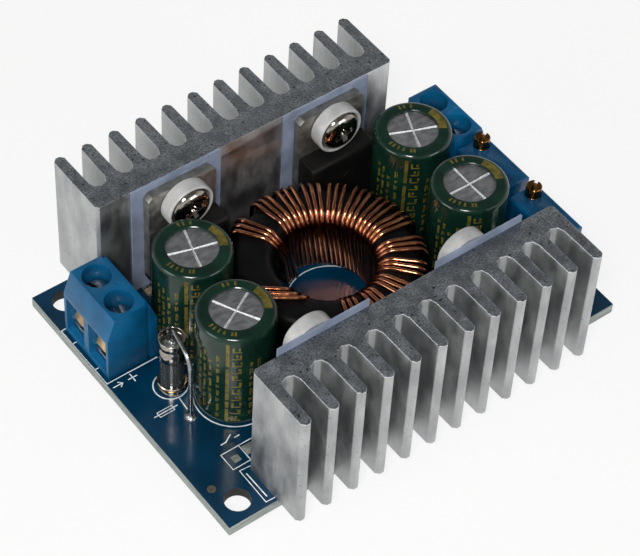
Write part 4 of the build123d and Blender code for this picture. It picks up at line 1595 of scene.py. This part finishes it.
@dataclass
class Terminals:
    """Two screw terminals with their clamps."""

    bench: Bench
    entries: tuple[tuple[str, float, int], ...] = (("input", -30.6, 1), ("output", 31.2, -1))
    y: float = 10.3
    pitch: float = 5.08
    well: float = 3.5
    head_radius: float = 1.8
    head_base: float = 8.3
    head_top: float = 9.9
    shank: float = 1.3
    shank_end: float = 7.4
    slot: Point = (0.6, 4.0, 1.6)
    slot_turn: float = 18.0
    top: float = 12.45
    rib: float = 0.2
    housing_edge: float = 0.16
    cage_edge: float = 0.12
    leaf_edge: float = 0.08

    def places(self, entry: float, inward: int) -> list[Spot]:
        """Where the two screws of a terminal stand.

        Args:
            entry: where the terminal's wire side is, along X.
            inward: 1 or -1, towards the module's middle.

        Returns:
            Both places in millimetres.
        """
        x = entry + inward * self.well
        return [(x, self.y + side * self.pitch / 2) for side in (-1, 1)]

    def build(self) -> None:
        """Dress the housings, cages and leaves, and turn the slotted screws."""
        for end, entry, inward in self.entries:
            self.bench.refit(f"{end}_terminal_housing", self.housing_edge, POLYAMIDE, "terminal")
            self.bench.refit(f"{end}_clamp_cages", self.cage_edge, ZINC, "clamp")
            self.bench.refit(f"{end}_clamp_leaves", self.leaf_edge, BRONZE, "leaf")
            turns = (-self.slot_turn, self.slot_turn)
            places = [at(x, y, 0, turn) for (x, y), turn in zip(self.places(entry, inward), turns)]
            name, node = f"{end}_clamp_screws_look", f"{end}_clamp_screws"
            self.bench.set_out(name, self.screw(), places, ZINC, "clamp", node)
            self.bench.fit(self.ribs(end, entry, inward), POLYAMIDE, "terminal")

    def screw(self) -> Piece:
        """Cheese head with a slot, on its shank."""
        top, radius, base = self.head_top, self.head_radius, self.head_base
        profile = [(0.0, top), (radius - 0.25, top), (radius - 0.08, top - 0.08)]
        profile += [(radius, top - 0.25), (radius, base + 0.1), (radius - 0.1, base)]
        profile += [(self.shank, base), (self.shank, self.shank_end), (0.0, self.shank_end)]
        screw = turned("clamp_screw", profile, 48)
        cut(screw, block("slot", self.slot, (0, 0, top)))
        return rounded(screw, 0.06, 2, 50)

    def ribs(self, end: str, entry: float, inward: int) -> Piece:
        """Thin moulded lines across the top between the wells and beside the dovetail.

        Args:
            end: input or output.
            entry: where the terminal's wire side is, along X.
            inward: 1 or -1, towards the module's middle.

        Returns:
            The lines as one piece.
        """
        middle, y = entry + inward * self.well, self.y
        lines = [
            [(middle - 1.0, y - 0.2), (middle + 2.0, y - 0.2)],
            [(middle + 1.6, y + 0.3), (middle + 2.2, y - 0.5)],
            [(middle - 1.0, y + 0.2), (middle - 1.0, y - 0.5)],
        ]
        routes = raised(lines, self.top + 0.01)
        return rods(f"{end}_terminal_ribs", routes, self.rib, sides=2, flat=0.8)


@dataclass
class Trimmers:
    """Two multiturn trimmers with slotted brass adjusting screws."""

    bench: Bench
    x: float = 28.6
    radius: float = 1.1
    head: float = 13.1
    foot: float = 10.05
    slot: Point = (3.0, 0.5, 1.2)
    slot_turn: float = 30.0
    line: float = 1.55
    case_edge: float = 0.14
    sides: tuple[tuple[str, float, Body], ...] = (
        ("near", -7.35, Body.ADJUSTER_NEAR),
        ("far", 3.45, Body.ADJUSTER_FAR),
    )

    def build(self) -> None:
        """Dress the cases and turn the adjusting screws, each on its own body."""
        for side, y, body in self.sides:
            self.bench.refit(f"trimmer_body_{side}", self.case_edge, TRIMMER_CASE, "trimmer")
            name, node = f"adjusting_screw_{side}", f"trimmer_adjuster_{side}"
            places = [at(self.x, y)]
            self.bench.set_out(name, self.adjuster(), places, BRASS, "adjuster", node, body=body)
        self.bench.keep(TINNED_WIRE, "trimmer_wires")

    def adjuster(self) -> Piece:
        """Brass cylinder with a chamfered, slotted end and a fine turned line round it."""
        edge, top, line = self.radius - 0.02, self.head, self.head - self.line
        profile = [(0.0, top), (edge - 0.12, top), (edge, top - 0.12), (edge, line + 0.05)]
        profile += [(edge - 0.05, line), (edge, line - 0.05), (edge, self.foot), (0.0, self.foot)]
        screw = turned("adjuster", profile, 48)
        slot = block("slot", self.slot, (0, 0, top))
        slot.matrix_world = at(0, 0, 0, self.slot_turn)
        cut(screw, settled(slot))
        return rounded(screw, 0.04, 2, 50)


@dataclass
class Fuse:
    """Glass fuse on end, with its top wire bent down to the board."""

    bench: Bench
    x: float = -24.45
    y: float = -0.15
    pad_x: float = -25.45
    pad_y: float = -5.65
    cap_radius: float = 1.8
    cap_foot: float = 7.8
    foot_radius: float = 2.0
    foot: float = 1.62
    foot_top: float = 3.0
    tube_radius: float = 1.6
    tube_bore: float = 1.22
    tube_ends: Spot = (1.85, 10.35)
    play: float = 0.03
    top: float = 11.4
    recess: float = 10.6
    crest: float = 13.2
    wire: float = 0.66
    wire_bend: float = 2.9

    def build(self) -> None:
        """Turn the caps and the tube, bend the wire and solder it in."""
        here = [at(self.x, self.y)]
        for name, profile, finish, slot, node in (
            ("fuse_cap_top", self.upper_cap(), CAP_METAL, "fuse_cap", "fuse_cap_upper"),
            ("fuse_cap_foot", self.lower_cap(), CAP_METAL, "fuse_cap", "fuse_cap_lower"),
            ("fuse_tube", self.tube(), GLASS, "glass", "fuse_glass"),
        ):
            self.bench.set_out(name, turned(name, profile, 56), here, finish, slot, node)
        self.bench.keep(CAP_METAL, "fuse_element")
        self.bench.keep(TINNED_WIRE, "fuse_wire_lower")
        seam = turned("seam", arc((self.foot_radius - 0.02, 2.62), 0.1, 0, 360, 10), 56)
        self.bench.set_out("fuse_seam", seam, here, BRASS, "fuse_cap")
        profile = [(0.0, 0.75), (0.3, 0.72), *arc((0.95, 0.75), 0.62, 185, 265, 5)]
        blob = turned("blob", [*profile, (1.2, 0.0), (0.0, 0.0)], 32)
        places = [at(self.x, self.y, self.recess)]
        self.bench.set_out("fuse_cap_solder", blob, places, SOLDER, "solder")
        corners = [
            Vector((self.x, self.y, self.recess)),
            Vector((self.x, self.y, self.crest)),
            Vector((self.pad_x, self.pad_y, self.crest)),
            Vector((self.pad_x, self.pad_y, 0.05)),
        ]
        wire = rods("fuse_top_wire", [softened(corners, self.wire_bend, 12)], self.wire, sides=3)
        self.bench.fit(wire, TINNED_WIRE, "lead", "fuse_wire_upper")

    def upper_cap(self) -> Profile:
        """Cap with a rolled rim round a recess, and a shallow groove under it."""
        rim, radius, foot = self.top - 0.1, self.cap_radius, self.cap_foot
        floor, inside = self.recess - 0.2, self.tube_radius + self.play
        profile = [(0.0, self.recess), (1.55, self.recess), (1.6, self.recess + 0.06)]
        profile += arc((radius - 0.1, rim), 0.1, 180, 0, 6)
        profile += [(radius, 10.2), (radius - 0.06, 10.05), (radius - 0.06, 9.9), (radius, 9.75)]
        profile += [(radius, foot + 0.1), (radius - 0.04, foot), (inside, foot)]
        return [*profile, (inside, floor), (0.0, floor)]

    def lower_cap(self) -> Profile:
        """Foot cap, a little wider than the tube."""
        low, high, radius = self.foot, self.foot_top, self.foot_radius
        floor, inside = low + 0.18, self.tube_radius + self.play
        profile = [(0.0, low), (radius - 0.1, low), (radius, low + 0.1), (radius, high - 0.15)]
        profile += [(radius - 0.1, high), (inside, high), (inside, floor), (0.0, floor)]
        return [*profile, (0.0, low)]

    def tube(self) -> Profile:
        """Open glass tube."""
        outer, inner, (low, high) = self.tube_radius, self.tube_bore, self.tube_ends
        return [(outer, low), (outer, high), (inner, high), (inner, low), (outer, low)]


@dataclass
class Underside:
    """Control chip and small chip parts."""

    bench: Bench
    columns: tuple[float, ...] = (-13.0, -9.0, -5.0)
    rows: tuple[float, ...] = (2.7, 5.3)
    height: float = -0.27
    top_part: Point = (-18.1, 14.3, 1.87)
    end_reach: float = 0.78
    chip_edge: float = 0.06
    leg_edge: float = 0.04

    def build(self) -> None:
        """Dress the chip, its legs and the small parts with their tinned ends."""
        self.bench.refit("control_chip", self.chip_edge, EPOXY, "moulding")
        self.bench.refit("control_chip_legs", self.leg_edge, TINNED_WIRE, "lead")
        places = [(x, y, self.height) for x in self.columns for y in self.rows]
        bodies = [block("chip_part", (1.1, 1.2, 0.5), place, 0.05) for place in places]
        bodies.append(block("chip_part_top", (1.2, 1.1, 0.5), self.top_part, 0.05))
        ends = [
            block("chip_end", (0.42, 1.25, 0.54), (x + side * self.end_reach, y, z), 0.08)
            for x, y, z in places
            for side in (-1, 1)
        ]
        x, y, z = self.top_part
        ends += [
            block("chip_end_top", (1.25, 0.42, 0.54), (x, y + side * self.end_reach, z), 0.08)
            for side in (-1, 1)
        ]
        self.bench.fit(joined("chip_parts", bodies), CERAMIC, "small_part", "small_parts")
        self.bench.fit(joined("chip_part_ends", ends), SOLDER, "small_part")


@dataclass
class Studio:
    """Pale floor, soft lamps and the camera at the photograph's angle."""

    floor_height: float = -0.0016
    floor_size: float = 3.0
    camera_place: Point = (-132.85, -159.09, 248.36)
    forward: Point = (0.41501, 0.50061, -0.75971)
    roll: float = 3.74
    lens: float = 137.0
    sensor: float = 36.0
    clip: Spot = (0.01, 20.0)
    fill: float = 0.13
    ceiling: float = 0.16
    ceiling_edge: Spot = (0.25, 0.7)
    aim: Point = (0.0, 0.0, 0.01)
    lamps: tuple[tuple[str, Point, float, float], ...] = (
        ("key", (-0.3, -0.3, 0.52), 0.16, 3.7),
        ("side", (-0.62, 0.05, 0.22), 0.3, 1.3),
        ("front", (0.25, -0.6, 0.22), 0.3, 1.2),
    )

    def build(self, bench: Bench) -> None:
        """Set up floor, world, lamps and camera.

        Args:
            bench: keeper of the materials.
        """
        height = self.floor_height
        bpy.ops.mesh.primitive_plane_add(size=self.floor_size, location=(0, 0, height))
        floor = settled(bpy.context.object)
        floor.name = "floor"
        bench.paint(floor, PAPER)
        self.world()
        for name, place, size, power in self.lamps:
            self.lamp(name, place, size, power)
        self.camera()

    def world(self) -> None:
        """White where it is seen, white walls under a dim ceiling in mirrors, grey fill light."""
        world = bpy.data.worlds.new("studio")
        world.use_nodes = True
        bpy.context.scene.world = world
        nodes = Nodes(world.node_tree)
        seen = nodes.any_ray("Is Camera Ray", "Is Transmission Ray")
        plain = nodes.add("ShaderNodeMapRange", {"Value": seen, "To Min": self.fill})
        direction = nodes.add("ShaderNodeTexCoord", output="Generated")
        height = nodes.add("ShaderNodeSeparateXYZ", {0: direction}, "Z")
        walls, ceiling = self.ceiling_edge
        spread = {"From Min": walls, "From Max": ceiling, "To Min": 1.0, "To Max": self.ceiling}
        mirrored = nodes.add("ShaderNodeMapRange", {"Value": height, **spread})
        glossy = nodes.any_ray("Is Glossy Ray")
        strength = {FACTOR: glossy, NUMBER_A: plain, NUMBER_B: mirrored}
        backdrop = nodes.tree.nodes["Background"]
        nodes.give(backdrop.inputs["Color"], "#ffffff")
        nodes.give(backdrop.inputs["Strength"], nodes.add("ShaderNodeMix", strength))

    def lamp(self, name: str, place: Point, size: float, power: float) -> None:
        """Hang a square soft lamp, aimed at the module.

        Args:
            name: the lamp's name.
            place: where it hangs, in metres.
            size: its side in metres.
            power: its power in watts.
        """
        light = bpy.data.lights.new(name, "AREA")
        light.size = size
        light.energy = power
        lamp = bpy.data.objects.new(name, light)
        bpy.context.scene.collection.objects.link(lamp)
        lamp.location = place
        towards = Vector(self.aim) - lamp.location
        lamp.rotation_euler = towards.to_track_quat("-Z", "Y").to_euler()

    def camera(self) -> None:
        """Place the camera that matches the photograph."""
        forward = Vector(self.forward).normalized()
        right = forward.cross(Vector((0, 0, 1))).normalized()
        up = right.cross(forward)
        turn = math.radians(self.roll)
        across = right * math.cos(turn) + up * math.sin(turn)
        upward = up * math.cos(turn) - right * math.sin(turn)
        data = bpy.data.cameras.new("camera")
        data.lens = self.lens
        data.sensor_width = self.sensor
        data.clip_start, data.clip_end = self.clip
        camera = bpy.data.objects.new("camera", data)
        bpy.context.scene.collection.objects.link(camera)
        axes = Matrix((across, upward, -forward)).transposed().to_4x4()
        camera.matrix_world = Matrix.Translation(Vector(self.camera_place) * MM) @ axes
        bpy.context.scene.camera = camera


PIN_PITCH = 2.54
CAPACITOR_LEAD_PITCH = 5.0
TRIMMER_PINS_X = 27.8
TRIMMER_PINS_Y = (-10.8, 0.0)
CAPACITOR_PLACES = {
    "input_front": (-18.7, -5.7),
    "input_rear": (-17.35, 5.6),
    "output_front": (18.4, -5.6),
    "output_rear": (18.3, 6.1),
}
# Turn of the print and of the score, in degrees
CAPACITOR_TURNS = {
    "input_front": (-8.0, 28.0),
    "input_rear": (-5.0, -16.0),
    "output_front": (0.0, 0.0),
    "output_rear": (-8.0, -22.0),
}


def lead_places(transistors: Transistors, terminals: Terminals, fuse: Fuse) -> list[Spot]:
    """Where round leads come through the board.

    Args:
        transistors: the transistors, for their legs.
        terminals: the terminals, for their pins.
        fuse: the fuse, for its two wires.

    Returns:
        Places in millimetres.
    """
    half = CAPACITOR_LEAD_PITCH / 2
    places = [(x, y + side * half) for x, y in CAPACITOR_PLACES.values() for side in (-1, 1)]
    front = transistors.front_face + transistors.leg_reach
    rear = transistors.rear_face - transistors.leg_reach
    for xs, y in ((transistors.fronts, front), (transistors.rears, rear)):
        places += [(x + leg * PIN_PITCH, y) for x in xs for leg in (-1, 0, 1)]
    for _, entry, inward in terminals.entries:
        places += terminals.places(entry, inward)
    places += [(TRIMMER_PINS_X, y + pin * PIN_PITCH) for y in TRIMMER_PINS_Y for pin in (-1, 0, 1)]
    places += [(fuse.x, fuse.y), (fuse.pad_x, fuse.pad_y)]
    return places


def main() -> None:
    """Build every sub-assembly round the frame, then set up the studio."""
    logging.basicConfig(level=logging.INFO, format="%(message)s")
    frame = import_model()
    bpy.context.scene.view_settings.view_transform = "Standard"
    bench = Bench(frame["nodes"])
    transistors, terminals = Transistors(bench), Terminals(bench)
    fuse, inductor = Fuse(bench), Inductor(bench)
    slots = [
        (*inductor.point(inductor.outer, inductor.first_angle, 0)[:2], inductor.first_angle, 3.6),
        (*inductor.point(inductor.inner, inductor.last_inside, 0)[:2], inductor.last_inside, 4.1),
    ]
    Board(bench).build(lead_places(transistors, terminals, fuse), slots)
    Heatsinks(bench).build()
    transistors.build()
    Capacitors(bench).build(CAPACITOR_PLACES, CAPACITOR_TURNS)
    inductor.build()
    terminals.build()
    Trimmers(bench).build()
    fuse.build()
    Underside(bench).build()
    Studio().build(bench)


if __name__ == "__main__":
    main()
